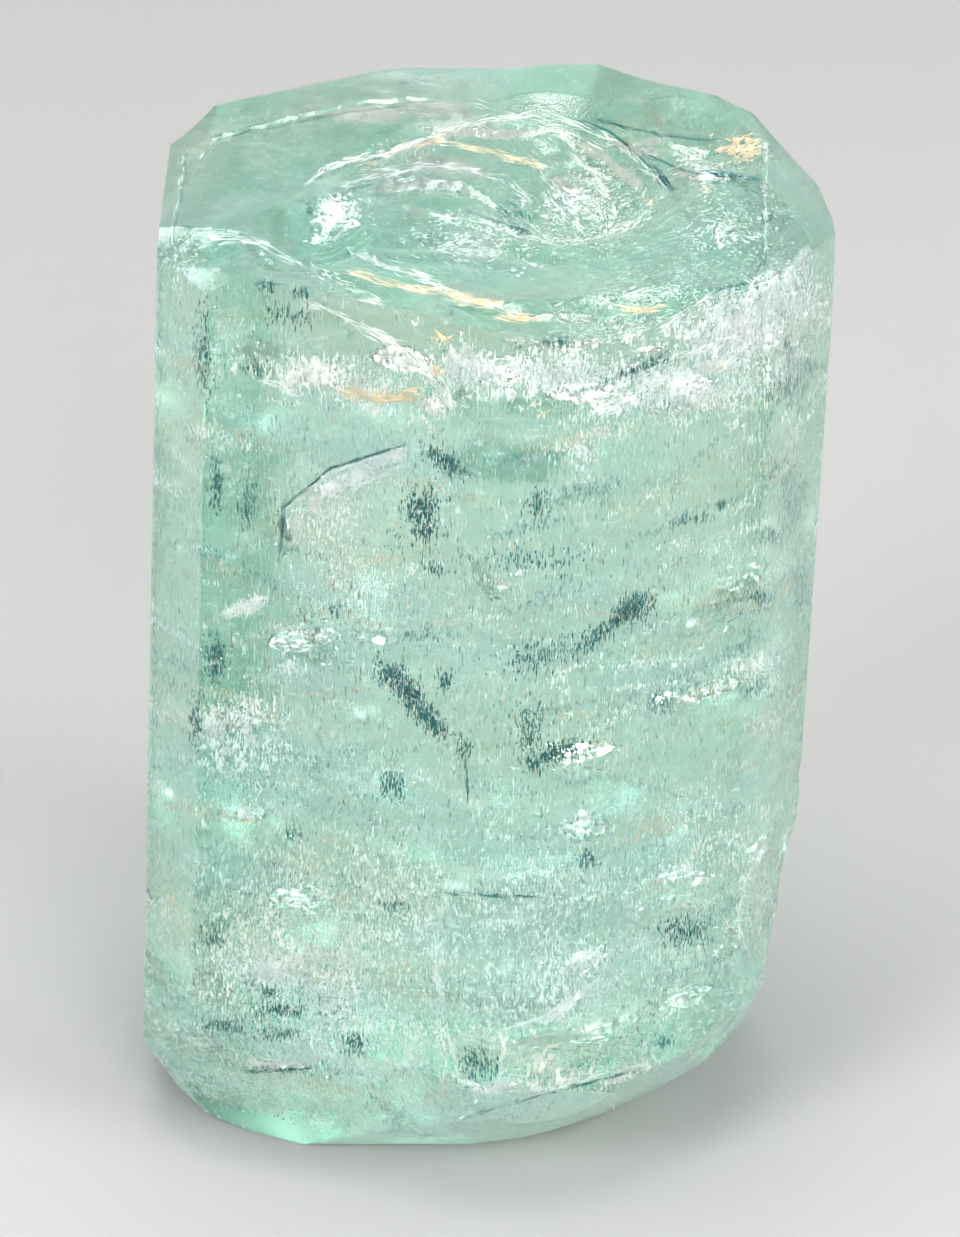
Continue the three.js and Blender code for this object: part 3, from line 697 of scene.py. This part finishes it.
def top_height(x, y):
    """Height of the broken top over x and y: swells, hollows, ledges and fine roughness."""
    dip = 0.008 * y - 0.006 * x
    swell = 0.16 * np.sin(0.31 * x + 0.22 * y + 0.6) + 0.1 * np.sin(0.53 * y - 0.4 * x)
    rough = 0.03 * layered(x / 1.6, y / 1.6, 73, 4)
    z = HEIGHT + dip + swell + rough - 0.06
    for name, *shape in TOP_DISHES:
        z = np.minimum(z, dish_floor(x, y, *shape, name_seed(name)))
    wobble = 0.25 * layered(x / 1.2, y / 1.2, 81, 2)
    for _, line, drop, fade in TOP_LEDGES:
        away, share = line_distance(x, y, line)
        away = away + wobble
        ends = np.clip(6 * share, 0, 1) * np.clip(6 * (1 - share), 0, 1)
        scarp = np.clip(away / 0.25, 0, 1) * np.exp(-np.clip(away, 0, None) / fade)
        z = z - drop * ends * scarp
    (mx, my), (rx, ry) = PUPIL
    inside = np.clip(1.6 - 1.6 * (((x - mx) / rx) ** 2 + ((y - my) / ry) ** 2), 0, 1)
    across = (x - mx) * PUPIL_GRAIN[1] - (y - my) * PUPIL_GRAIN[0]
    along = (x - mx) * PUPIL_GRAIN[0] + (y - my) * PUPIL_GRAIN[1]
    streaks = 1 - np.abs(layered(across / 1.1 + 0.3 * np.sin(along / 2), along / 4.5, 91, 3)) * 2
    return z - 0.3 * inside * np.clip(streaks, -1, 1) * 0.8


def dish_tool(name, at, opens, radii, depth, turn, floor, ripple):
    """A closed tool that presses one shell-shaped break with rippled floor."""
    size = max(radii)
    rings, sectors = int(10 + 2.2 * size), int(36 + 7 * size)
    seed = name_seed(name)
    angles = np.arange(sectors) / sectors * 2 * math.pi
    points = [(0.0, 0.0, -depth)]
    rows = []
    for i in range(1, rings + 1):
        r = math.sin(i / rings * math.pi / 2)
        x, y = r * radii[0] * np.cos(angles), r * radii[1] * np.sin(angles)
        z = -depth * (1 - r ** floor) + ripple * ripples(x, y, r, size, seed)
        rows.append(np.column_stack([x, y, z]))
    height = 5 + depth
    for flare, z in ((1.25, height * 0.2), (1.25, height)):
        rim = np.column_stack([flare * radii[0] * np.cos(angles), flare * radii[1] * np.sin(angles)])
        rows.append(np.column_stack([rim, np.full(sectors, z)]))
    points = np.concatenate([np.array(points)] + rows + [np.array([[0.0, 0.0, height]])])
    faces = [(0, 1 + (k + 1) % sectors, 1 + k) for k in range(sectors)]
    for j in range(len(rows) - 1):
        for k in range(sectors):
            a, b = 1 + j * sectors + k, 1 + j * sectors + (k + 1) % sectors
            faces.append((a, b, b + sectors, a + sectors))
    last, end = len(points) - 1, 1 + (len(rows) - 1) * sectors
    faces += [(last, end + k, end + (k + 1) % sectors) for k in range(sectors)]
    cos, sin = math.cos(math.radians(turn)), math.sin(math.radians(turn))
    spin = np.array([[cos, -sin, 0], [sin, cos, 0], [0, 0, 1]])
    return new_object(name, aim(points @ spin.T, at, opens), faces)


def break_tool(name, at, faces_to):
    """A big block that lies on the outer side of a flat break."""
    half, tall = 30.0, 60.0
    square = [(-half, -half), (half, -half), (half, half), (-half, half)]
    corners = [(x, y, z) for z in (0, tall) for x, y in square]
    faces = [(3, 2, 1, 0), (4, 5, 6, 7), (0, 1, 5, 4), (1, 2, 6, 5), (2, 3, 7, 6), (3, 0, 4, 7)]
    return new_object(name, aim(np.array(corners), at, faces_to), faces)


def nick_tool(corner, z, radius):
    """A small lumpy ball that nicks an upright edge."""
    _, x, y, _, _ = CORNERS[corner]
    outward = 1 + radius * 0.62 / math.hypot(x, y)
    ball = bmesh.new()
    bmesh.ops.create_icosphere(ball, subdivisions=3, radius=radius)
    points = np.array([v.co[:] for v in ball.verts])
    faces = [tuple(v.index for v in f.verts) for f in ball.faces]
    ball.free()
    points *= (1 + 0.12 * noise(points[:, :1] * 2.1 + z, points[:, 1:2] * 2.1 + points[:, 2:] * 1.7, 97))
    points *= np.array([1, 1, 1.7])
    return new_object("nick", points + np.array([x * outward + LEAN * z, y * outward, z]), faces)


def crystal_surface():
    """The crystal's form: the wall cut by the broken top and foot, the breaks and the nicks."""

    def under(x, y):
        return np.full_like(x, -2.0)

    def over(x, y):
        return np.full_like(x, HEIGHT + 5)

    surface = wall()
    carve(surface, grid_block("top_block", TOP_GRID, top_height, under), "INTERSECT")
    carve(surface, grid_block("foot_block", FOOT_GRID, over, foot_height(foot_planes())), "INTERSECT")
    for values in FLAT_BREAKS:
        carve(surface, break_tool(*values), "DIFFERENCE")
    for values in SIDE_DISHES:
        carve(surface, dish_tool(*values), "DIFFERENCE")
    for values in NICKS:
        carve(surface, nick_tool(*values), "DIFFERENCE")
    mesh = surface.data
    mesh.polygons.foreach_set("use_smooth", [True] * len(mesh.polygons))
    mesh.set_sharp_from_angle(angle=math.radians(24))
    return surface


# What shows inside the crystal

def inside_walls(point, margin):
    """True if a point lies inside the leaning prism of the corners by more than the margin."""
    x, y = point[0] - LEAN * point[2], point[1]
    for (_, ax, ay, _, _), (_, bx, by, _, _) in zip(CORNERS, CORNERS[1:] + CORNERS[:1]):
        reach = math.hypot(bx - ax, by - ay)
        if ((bx - ax) * (y - ay) - (by - ay) * (x - ax)) / reach < margin:
            return False
    return 0 < point[2] < HEIGHT + 0.4


class Sight:
    """Looks at the crystal's surface from round it, as the photograph's camera does."""

    def __init__(self, surface):
        mesh = surface.data
        points = np.empty(len(mesh.vertices) * 3)
        mesh.vertices.foreach_get("co", points)
        points = points.reshape(-1, 3) / MM - np.array([AXIS_FOOT[0], AXIS_FOOT[1], 0.0])
        faces = [tuple(f.vertices) for f in mesh.polygons]
        self.tree = BVHTree.FromPolygons(points.tolist(), faces)

    def within(self, point, margin):
        """True if the point is inside the crystal and at least the margin below its surface."""
        near, normal, _, distance = self.tree.find_nearest(point)
        below = (Vector(point) - near).dot(normal) < 0
        return distance > margin and below and inside_walls(point, margin)

    def look_in(self, across, down, depth, azimuth=0.0):
        """The point at a depth along the bent line of sight through a pixel of a view from the
        azimuth, and the surface's normal there; None where the view misses the crystal."""
        rise, turn = math.radians(CAMERA_ELEVATION), math.radians(azimuth)
        level = math.cos(rise)
        back = Vector((-math.sin(turn) * level, -math.cos(turn) * level, math.sin(rise)))
        right = Vector((math.cos(turn), -math.sin(turn), 0))
        up = back.cross(right)
        focal = CAMERA_LENS / SENSOR * PHOTO_SIZE[1]
        eye = Vector(CAMERA_TARGET) + back * CAMERA_DISTANCE
        sideways, upwards = (across - PHOTO_SIZE[0] / 2) / focal, (PHOTO_SIZE[1] / 2 - down) / focal
        way = (right * sideways + up * upwards - back).normalized()
        hit, normal, _, _ = self.tree.ray_cast(eye, way)
        if hit is None:
            return None
        ratio, facing = 1 / BERYL_IOR, -way.dot(normal)
        bend = ratio * facing - math.sqrt(1 - ratio ** 2 * (1 - facing ** 2))
        return hit + (way * ratio + normal * bend).normalized() * depth, normal


def belongs(piece):
    """Makes a piece move with the crystal's body."""
    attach(piece, BODY)
    return piece


def bits_mesh(name, middles, ways, lengths, widths, flatness, colour, rng):
    """One mesh of many small closed slivers, each a four-sided splinter along its way."""
    middles, ways = np.asarray(middles, float), unit(ways)
    side = unit(np.cross(ways, rng.normal(size=ways.shape)))
    third = np.cross(ways, side)
    half, wide = np.asarray(lengths)[:, None] / 2, np.asarray(widths)[:, None] / 2
    thin = wide * flatness
    ridge, base = middles + third * thin * 0.75, middles - third * thin * 0.75
    tips = [ridge + ways * half, ridge - ways * half]
    flanks = [base + side * wide * 0.8 + ways * half * 0.2, base - side * wide * 0.8 - ways * half * 0.15]
    points = np.stack(tips + flanks, axis=1).reshape(-1, 3)
    faces = (np.arange(len(middles))[:, None, None] * 4 + SPLINTER_FACES).reshape(-1, 3)
    mesh = bpy.data.meshes.new(name)
    mesh.from_pydata(to_frame(points).tolist(), [], faces.tolist())
    mesh.materials.append(bit_material(name, colour))
    obj = bpy.data.objects.new(name, mesh)
    bpy.context.scene.collection.objects.link(obj)
    return belongs(obj)


def cluster_places(sight, clusters, per_area, depths, rng, azimuth=0.0):
    """Places for the bits of some clusters, with the surface's normal at each."""
    places, normals = [], []
    for across, down, half_wide, half_high, tilt, amount in clusters:
        count = max(3, int(amount * per_area * half_wide * half_high))
        cos, sin = math.cos(math.radians(tilt)), math.sin(math.radians(tilt))
        for a, b in rng.normal(scale=CLUSTER_SPREAD, size=(count, 2)):
            u, v = a * half_wide, b * half_high
            depth = depths[0] + (depths[1] - depths[0]) * rng.random() ** 1.5
            found = sight.look_in(across + u * cos + v * sin, down - u * sin + v * cos, depth, azimuth)
            if found and sight.within(found[0], BIT_MARGIN):
                places.append(found[0][:])
                normals.append(found[1][:])
    return np.array(places), np.array(normals)


def slivers(name, sight, clusters, manner, colour, rng):
    """Clusters of fine bits: upright under the walls, and lying about under the top."""
    per_area, depths, (long_low, long_high), (wide_low, wide_high) = manner
    places, normals = cluster_places(sight, clusters, per_area, depths, rng)
    n = len(places)
    upright = np.tile([LEAN, 0, 1.0], (n, 1)) + rng.normal(scale=0.03, size=(n, 3))
    lying = np.cross(normals, rng.normal(size=(n, 3)) + np.array([0.9, 0.4, 0]))
    ways = np.where(np.abs(normals[:, 2:3]) > TOP_NORMAL, lying, upright)
    lengths = long_low + (long_high - long_low) * rng.random(n) ** 2
    widths = wide_low + (wide_high - wide_low) * rng.random(n) ** 2
    bits_mesh(name, places, ways, lengths, widths, BIT_FLATNESS, colour, rng)


def seam_bits(name, sight, seams, colour, rng):
    """Fine bits along lines that are given by the photograph's pixels."""
    places, ways, lengths, widths = [], [], [], []
    for line, spread, thick, amount in seams:
        for (ax, ay), (bx, by) in zip(line, line[1:]):
            reach = math.hypot(bx - ax, by - ay)
            start, end = sight.look_in(ax, ay, 0), sight.look_in(bx, by, 0)
            if not (start and end):
                continue
            way = (end[0] - start[0]).normalized()
            for _ in range(max(2, int(reach * amount * SEAM_BITS))):
                t, aside = rng.random(), rng.normal(scale=spread)
                across, down = ax + (bx - ax) * t, ay + (by - ay) * t
                across, down = across - (by - ay) / reach * aside, down + (bx - ax) / reach * aside
                found = sight.look_in(across, down, rng.uniform(*SEAM_DEPTHS))
                if found and sight.within(found[0], 0.05):
                    places.append(found[0][:])
                    ways.append((way + Vector(rng.normal(scale=0.12, size=3)))[:])
                    lengths.append(rng.uniform(*SEAM_LENGTHS))
                    widths.append(thick * rng.uniform(0.5, 1.4))
    bits_mesh(name, places, ways, lengths, widths, BIT_FLATNESS, colour, rng)


def wisps(name, sight, count, colour, widths, seed):
    """Level streaks of fine upright bits on every side, some of them tilted, as in the photograph."""
    rng = np.random.default_rng(seed)
    places, normals = [], []
    for azimuth in WISP_SIDES:
        clusters = []
        for _ in range(count):
            across, down = rng.uniform(*WISP_ACROSS), rng.uniform(*WISP_DOWN)
            tilt = (across - WISP_LEVEL) / WISP_BEND + rng.normal(scale=6)
            half_wide, half_high = rng.uniform(*WISP_HALF_WIDTHS), rng.uniform(*WISP_HALF_HEIGHTS)
            clusters.append((across, down, half_wide, half_high, tilt, rng.uniform(*WISP_AMOUNTS)))
        found = cluster_places(sight, clusters, WISP_AREA, WISP_DEPTHS, rng, azimuth)
        places.append(found[0])
        normals.append(found[1])
    places = np.concatenate(places)[np.abs(np.concatenate(normals)[:, 2]) < TOP_NORMAL]
    n = len(places)
    ways = np.tile([LEAN, 0, 1.0], (n, 1)) + rng.normal(scale=0.05, size=(n, 3))
    wide = rng.uniform(*widths, n)
    bits_mesh(name, places, ways, rng.uniform(*WISP_LENGTHS, n), wide, BIT_FLATNESS, colour, rng)


def scattered(sight, count, depths, rng, thickness):
    """Random places inside the crystal at a depth under its surface, thicker where noise is high."""
    places = []
    while len(places) < count:
        tries = 4 * count
        z = rng.uniform(1.5, 52.5, tries)
        x = rng.uniform(-18, 20, tries) + LEAN * z
        points = np.column_stack([x, rng.uniform(-19.5, 20, tries), z])
        points = points[rng.random(tries) < thickness(*points.T)]
        for point in points.tolist():
            if sight.within(point, depths[0]) and not sight.within(point, depths[1]):
                places.append(point)
    return np.array(places[:count])


def growth_tubes(name, sight, count, depths, widths, colour, seed):
    """Fine upright tubes all through the crystal's outer part, in cloudy patches."""
    rng = np.random.default_rng(seed)

    def cloud(x, y, z):
        patches = 0.45 + 0.9 * layered((x + 0.7 * y) / 4.5, z / 2.6 - 0.15 * x, seed, 3)
        return patches * np.where(z > TOP_CLEAR, 0.2, 1)

    places = scattered(sight, count, depths, rng, cloud)
    ways = np.tile([LEAN, 0, 1.0], (count, 1)) + rng.normal(scale=0.02, size=(count, 3))
    lengths, wide = rng.uniform(*TUBE_LENGTHS, count), rng.uniform(*widths, count)
    bits_mesh(name, places, ways, lengths, wide, 0.7, colour, rng)


def milk(sight, seed):
    """Pale motes that lie every way in the crystal and make it cloudy, most of all at the foot."""
    rng = np.random.default_rng(seed)

    def cloud(x, y, z):
        patches = 0.35 + 0.8 * layered((x - 0.5 * y) / 6, z / 3.6 + 0.1 * x, seed, 3)
        return patches + np.clip(1 - z / 22, 0, 0.7)

    def frost(x, y, z):
        return np.clip(1.25 - z / 15, 0, 1)

    places = scattered(sight, MILK_MOTES, MILK_DEPTHS, rng, cloud)
    places = np.concatenate([places, scattered(sight, FROST_MOTES, FROST_DEPTHS, rng, frost)])
    wide = rng.uniform(*MOTE_WIDTHS, len(places))
    ways = rng.normal(size=(len(places), 3))
    bits_mesh("milk", places, ways, wide * 2.2, wide, 0.5, WHITE, rng)


def crack_shape(middle, facing, radii, turn, crumple, seed):
    """A thin crumpled gap with a ragged outline: its points and faces, facing into the gap."""
    rings, sectors = CRACK_MESH
    angles = np.arange(sectors) / sectors * 2 * math.pi
    ragged = 1 + 0.3 * layered(np.cos(angles) * 1.6 + 5, np.sin(angles) * 1.6, seed, 3)
    share = (np.arange(1, rings + 1) / rings)[:, None]
    x = np.append(0, (share * ragged * radii[0] * np.cos(angles)).ravel())
    y = np.append(0, (share * ragged * radii[1] * np.sin(angles)).ravel())
    share = np.append(0, np.repeat(share[:, 0], sectors))
    z = crumple * (layered(x / 2.1, y / 1.5, seed + 1, 4) + 0.5 * layered(x / 0.7, y / 0.5, seed + 2, 2))
    z = z + 0.12 * min(radii) * share ** 2
    half = CRACK_GAP / 2 * (1 - share ** 2)
    cos, sin = math.cos(math.radians(turn)), math.sin(math.radians(turn))
    x, y = x * cos - y * sin, x * sin + y * cos
    inner = 1 + (rings - 1) * sectors
    points = np.concatenate([np.stack([x, y, z + half], 1), np.stack([x, y, z - half], 1)[:inner]])
    lower = np.arange(len(x))
    lower[:inner] += len(x)
    faces = []
    for k in range(sectors):
        n = (k + 1) % sectors
        faces.append((0, 1 + n, 1 + k))
        faces.append((lower[0], lower[1 + k], lower[1 + n]))
        for j in range(rings - 1):
            a, b = 1 + j * sectors + k, 1 + j * sectors + n
            c, d = b + sectors, a + sectors
            faces.append((a, b, c, d))
            faces.append((lower[a], lower[d], lower[c], lower[b]))
    return aim(points, middle, facing), faces


def veil_bits(place, way, radii, turn, crumple, seed):
    """Small flat gaps strewn along a crumpled sheet: their middles, ways across it and sizes."""
    rng = np.random.default_rng(seed)
    count = int(VEIL_BITS * radii[0] * radii[1]) + VEIL_LEAST
    x, y = rng.normal(scale=0.62, size=(2, count))
    x, y = x * radii[0], y * radii[1]
    z = crumple * 1.3 * layered(x / 2.1, y / 1.5, seed + 1, 4) + rng.normal(scale=0.05, size=count)
    cos, sin = math.cos(math.radians(turn)), math.sin(math.radians(turn))
    points = np.stack([x * cos - y * sin, x * sin + y * cos, z], 1)
    normals = np.column_stack([rng.normal(scale=0.35, size=(count, 2)), np.ones(count)])
    return aim(points, place, way), aim(normals, (0, 0, 0), way), rng.uniform(*VEIL_SIZES, count)


def flat_gaps(places, normals, sizes, rng):
    """Points and faces of many flat six-sided double pyramids, facing into themselves."""
    normals = unit(normals)
    side = unit(np.cross(normals, rng.normal(size=normals.shape)))
    third = np.cross(normals, side)
    long = sizes[:, None] * rng.uniform(0.8, 1.5, (len(sizes), 1))
    ring = []
    for k in range(6):
        reach = rng.uniform(0.7, 1.2, (len(sizes), 1))
        angle = k * math.pi / 3
        along = side * long * reach * math.cos(angle) / 2
        across = third * sizes[:, None] * reach * math.sin(angle) / 3
        ring.append(places + along + across)
    thick = 0.03 + 0.05 * sizes[:, None]
    points = np.stack([places + normals * thick, places - normals * thick] + ring, axis=1).reshape(-1, 3)
    shape = [(0, 2 + (k + 1) % 6, 2 + k) for k in range(6)]
    shape += [(1, 2 + k, 2 + (k + 1) % 6) for k in range(6)]
    faces = (np.arange(len(places))[:, None, None] * 8 + np.array(shape)).reshape(-1, 3)
    return points, faces


def facing_way(azimuth, elevation):
    """A direction from its compass angle, 0 to the front and 90 to the right, and its height."""
    turn, rise = math.radians(azimuth), math.radians(elevation)
    return (math.sin(turn) * math.cos(rise), -math.cos(turn) * math.cos(rise), math.sin(rise))


def crack_places(sight, rng):
    """Place, facing, radii, turn and crumple of every crack: those seen, then those of the rest."""
    cracks = []
    for across, down, depth, radii, azimuth, elevation, turn, crumple in SEEN_CRACKS:
        found = sight.look_in(across, down, depth)
        if found:
            cracks.append((found[0][:], facing_way(azimuth, elevation), radii, turn, crumple))

    def more_behind(x, y, z):
        return np.where(y > -8, 0.5, 0.12)

    for place in scattered(sight, HIDDEN_CRACKS, HIDDEN_DEPTHS, rng, more_behind):
        radii = (rng.uniform(*HIDDEN_RADII[0]), rng.uniform(*HIDDEN_RADII[1]))
        way = facing_way(rng.uniform(0, 360), rng.choice([-1, 1]) * rng.uniform(35, 85))
        cracks.append((place, way, radii, rng.uniform(0, 180), rng.uniform(*HIDDEN_CRUMPLE)))
    return cracks


def crack_sheets(sight, cracks):
    """Points and faces of each crack's open gap, made smaller until it lies inside the crystal."""
    all_points, all_faces, start = [], [], 0
    for number, (place, way, radii, turn, crumple) in enumerate(cracks):
        radii = (radii[0] * SHEET_SHARE, radii[1] * SHEET_SHARE)
        for _ in range(8):
            points, faces = crack_shape(place, way, radii, turn, crumple, 300 + 7 * number)
            if all(sight.within(point, 0.1) for point in points[::5].tolist()):
                all_points.append(points)
                all_faces += [tuple(int(i) + start for i in face) for face in faces]
                start += len(points)
                break
            radii = (radii[0] * SHEET_SHRINK, radii[1] * SHEET_SHRINK)
    return np.concatenate(all_points), all_faces


def crack_pieces(sight):
    """The cracks' open gaps as one mesh, and the veils of small gaps round them as another."""
    rng = np.random.default_rng(21)
    cracks = crack_places(sight, rng)
    bits = [veil_bits(*crack, 500 + number) for number, crack in enumerate(cracks)]
    places, normals, sizes = [np.concatenate(part) for part in zip(*bits)]
    inside = [sight.within(point, 0.35) for point in places.tolist()]
    places, normals, sizes = places[inside], normals[inside], sizes[inside]
    glass = crack_glass()
    sheets = belongs(new_object("cracks", *crack_sheets(sight, cracks), glass))
    sheets.data.polygons.foreach_set("use_smooth", [True] * len(sheets.data.polygons))
    belongs(new_object("veils", *[a.tolist() for a in flat_gaps(places, normals, sizes, rng)], glass))


def inclusions_and_painted_light(sight):
    """All that shows inside the crystal: cracks, inclusions and haze, and bits that paint highlights, shade
    and dark reflections.
    """
    rng = np.random.default_rng(7)
    crack_pieces(sight)
    slivers("white_flecks_and_highlights", sight, WHITE_CLUSTERS_AND_HIGHLIGHTS, FINE_FLECKS, WHITE, rng)
    slivers("white_lumps_and_highlights", sight, WHITE_LUMPS_AND_HIGHLIGHTS, BROAD_FLAKES, WHITE, rng)
    slivers("painted_dark_reflections", sight, DARK_REFLECTION_CLUSTERS, DARK_REFLECTION_FLECKS, TEAL, rng)
    seam_bits("white_seams_and_highlights", sight, WHITE_SEAMS_AND_HIGHLIGHTS, WHITE, rng)
    seam_bits("dark_seams_and_shade", sight, DARK_SEAMS_AND_SHADE, TEAL, rng)
    seam_bits("ochre_seams", sight, OCHRE_SEAMS, OCHRE, rng)
    slivers("ochre_stains", sight, OCHRE_CLUSTERS, STAIN_FLECKS, OCHRE, rng)
    slivers("ochre_patches", sight, OCHRE_PATCHES, STAIN_FLAKES, OCHRE, rng)
    slivers("brown_needles", sight, BROWN_CLUSTERS, NEEDLES, BROWN, rng)
    wisps("white_wisps", sight, 60, WHITE, (0.06, 0.18), 201)
    wisps("tan_wisps", sight, 44, SAND, (0.06, 0.15), 203)
    wisps("blue_wisps", sight, 30, SLATE, (0.05, 0.12), 207)
    growth_tubes("pale_tubes", sight, 24000, (0.1, 1.6), (0.05, 0.10), PALE, 101)
    growth_tubes("grey_tubes", sight, 16000, (0.1, 1.6), (0.03, 0.07), GREY, 103)
    growth_tubes("tan_tubes", sight, 10000, (0.1, 2.5), (0.05, 0.1), SAND, 107)
    milk(sight, 109)


# Materials

def new_material(name):
    """A material, its node tree and its Principled shader."""
    material = bpy.data.materials.new(name)
    material.use_nodes = True
    return material, material.node_tree, material.node_tree.nodes["Principled BSDF"]


def colours_over(tree, noise, stops):
    """Lays colours over a noise: the place on it and the colour of each stop."""
    ramp = tree.nodes.new("ShaderNodeValToRGB")
    elements = ramp.color_ramp.elements
    if len(stops) == 3:
        elements.new(0.5)
    for element, (place, colour) in zip(elements, stops):
        element.position = place
        element.color = (*colour, 1)
    tree.links.new(noise.outputs["Fac"], ramp.inputs["Fac"])
    return ramp.outputs["Color"]


def bit_material(name, colour):
    """A matt bit, a little uneven in colour: minerals and healed cracks, and the bits that paint highlights,
    shade and dark reflections. Its own refraction is near the crystal's, so it has no shine in there."""
    material, tree, shader = new_material(name)
    shader.inputs["Roughness"].default_value = 0.7
    shader.inputs["IOR"].default_value = 1.0
    place = tree.nodes.new("ShaderNodeTexCoord")
    patches = tree.nodes.new("ShaderNodeTexNoise")
    patches.inputs["Scale"].default_value = 900
    tree.links.new(place.outputs["Object"], patches.inputs["Vector"])
    darker, lighter = [c * 0.75 for c in colour], [min(1, c * 1.1) for c in colour]
    colours = colours_over(tree, patches, [(0.3, darker), (0.7, lighter)])
    tree.links.new(colours, shader.inputs["Base Color"])
    return material


def crack_glass():
    """The walls of a thin gap in the crystal: the same refraction, with nothing in between."""
    material, _, shader = new_material("crack_glass")
    shader.inputs["Base Color"].default_value = (1, 1, 1, 1)
    shader.inputs["Transmission Weight"].default_value = 1.0
    shader.inputs["IOR"].default_value = BERYL_IOR
    shader.inputs["Roughness"].default_value = 0.06
    return material


def stretched_noise(tree, place, scale, rotation=(0, 0, 0)):
    """A noise over the object's own coordinates, with a scale for each axis."""
    mapping = tree.nodes.new("ShaderNodeMapping")
    mapping.inputs["Scale"].default_value = scale
    mapping.inputs["Rotation"].default_value = rotation
    noise_node = tree.nodes.new("ShaderNodeTexNoise")
    noise_node.inputs["Scale"].default_value = 1.0
    noise_node.inputs["Detail"].default_value = 3.0
    tree.links.new(place.outputs["Object"], mapping.inputs["Vector"])
    tree.links.new(mapping.outputs["Vector"], noise_node.inputs["Vector"])
    return noise_node


def growth_bump(tree, place, shader):
    """Growth lines finer than the mesh."""
    bump = tree.nodes.new("ShaderNodeBump")
    bump.inputs["Strength"].default_value = 0.8
    bump.inputs["Distance"].default_value = 0.00003
    lines = stretched_noise(tree, place, (7000, 7000, 1500))
    tree.links.new(lines.outputs["Fac"], bump.inputs["Height"])
    tree.links.new(bump.outputs["Normal"], shader.inputs["Normal"])


def etched_walls(tree, place, shader):
    """Makes the upright walls, which are etched by growth, rougher than the breaks."""
    parts = tree.nodes.new("ShaderNodeSeparateXYZ")
    steep = tree.nodes.new("ShaderNodeMath")
    steep.operation = "ABSOLUTE"
    etch = tree.nodes.new("ShaderNodeMapRange")
    etch.inputs["From Min"].default_value = 0.05
    etch.inputs["From Max"].default_value = 0.3
    etch.inputs["To Min"].default_value = WALL_ROUGHNESS
    etch.inputs["To Max"].default_value = BREAK_ROUGHNESS
    tree.links.new(place.outputs["Normal"], parts.inputs["Vector"])
    tree.links.new(parts.outputs["Z"], steep.inputs[0])
    tree.links.new(steep.outputs["Value"], etch.inputs["Value"])
    tree.links.new(etch.outputs["Result"], shader.inputs["Roughness"])


def clear_beryl():
    """Clear blue-green beryl: refraction, absorption along the light's way, and fine growth lines."""
    material, tree, shader = new_material("clear_beryl")
    shader.inputs["Transmission Weight"].default_value = 1.0
    shader.inputs["IOR"].default_value = BERYL_IOR
    place = tree.nodes.new("ShaderNodeTexCoord")
    growth_bump(tree, place, shader)
    etched_walls(tree, place, shader)
    clouds = stretched_noise(tree, place, (60, 60, 210), (0.1, -0.3, 0))
    tree.links.new(colours_over(tree, clouds, BODY_TINTS), shader.inputs["Base Color"])
    absorb = tree.nodes.new("ShaderNodeVolumeAbsorption")
    absorb.inputs["Color"].default_value = (*ABSORPTION, 1)
    absorb.inputs["Density"].default_value = ABSORPTION_DENSITY
    tree.links.new(absorb.outputs["Volume"], tree.nodes["Material Output"].inputs["Volume"])
    return material


def pale_floor():
    material, _, shader = new_material("pale_floor")
    shader.inputs["Base Color"].default_value = (*FLOOR_COLOUR, 1)
    shader.inputs["Roughness"].default_value = 1.0
    shader.inputs["Specular IOR Level"].default_value = 0.0
    return material


# Studio

def studio():
    """A plain pale floor under an even sky and soft lights."""
    place = (0, 0, FLOOR_LEVEL)
    bpy.ops.mesh.primitive_circle_add(vertices=128, radius=4, fill_type="NGON", location=place)
    floor = bpy.context.object
    floor.name = "floor"
    floor.data.materials.append(pale_floor())
    world = bpy.data.worlds.new("studio")
    bpy.context.scene.world = world
    world.use_nodes = True
    background = world.node_tree.nodes["Background"]
    background.inputs["Color"].default_value = (*STUDIO_COLOUR, 1)
    background.inputs["Strength"].default_value = STUDIO_STRENGTH
    for light in LIGHTS:
        soft_light(*light)
    bpy.context.scene.view_settings.view_transform = "Standard"


def soft_light(name, at, size, watts):
    light = bpy.data.lights.new(name, "AREA")
    light.shape = "DISK"
    light.size = size
    light.energy = watts
    obj = bpy.data.objects.new(name, light)
    obj.location = at
    way = Vector(LIGHTS_AIM) - Vector(at)
    obj.rotation_euler = way.to_track_quat("-Z", "Y").to_euler()
    bpy.context.scene.collection.objects.link(obj)


def camera():
    data = bpy.data.cameras.new("camera")
    data.lens = CAMERA_LENS
    data.sensor_width = SENSOR
    data.clip_start = 0.01
    obj = bpy.data.objects.new("camera", data)
    rise = math.radians(CAMERA_ELEVATION)
    target = Vector(to_frame([CAMERA_TARGET])[0])
    back = Vector((0, -math.cos(rise), math.sin(rise)))
    obj.location = target + back * CAMERA_DISTANCE * MM
    obj.rotation_euler = (-back).to_track_quat("-Z", "Y").to_euler()
    bpy.context.scene.collection.objects.link(obj)
    bpy.context.scene.camera = obj


surface = crystal_surface()
surface.data.materials.clear()
surface.data.materials.append(clear_beryl())
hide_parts("crystal")
belongs(surface)
inclusions_and_painted_light(Sight(surface))
studio()
camera()

# Enough bounces for light that passes through the cracks, and a coarse stop for the noise
cycles = bpy.context.scene.cycles
cycles.max_bounces = 14
cycles.transmission_bounces = 14
cycles.transparent_max_bounces = 8
cycles.adaptive_threshold = 0.2
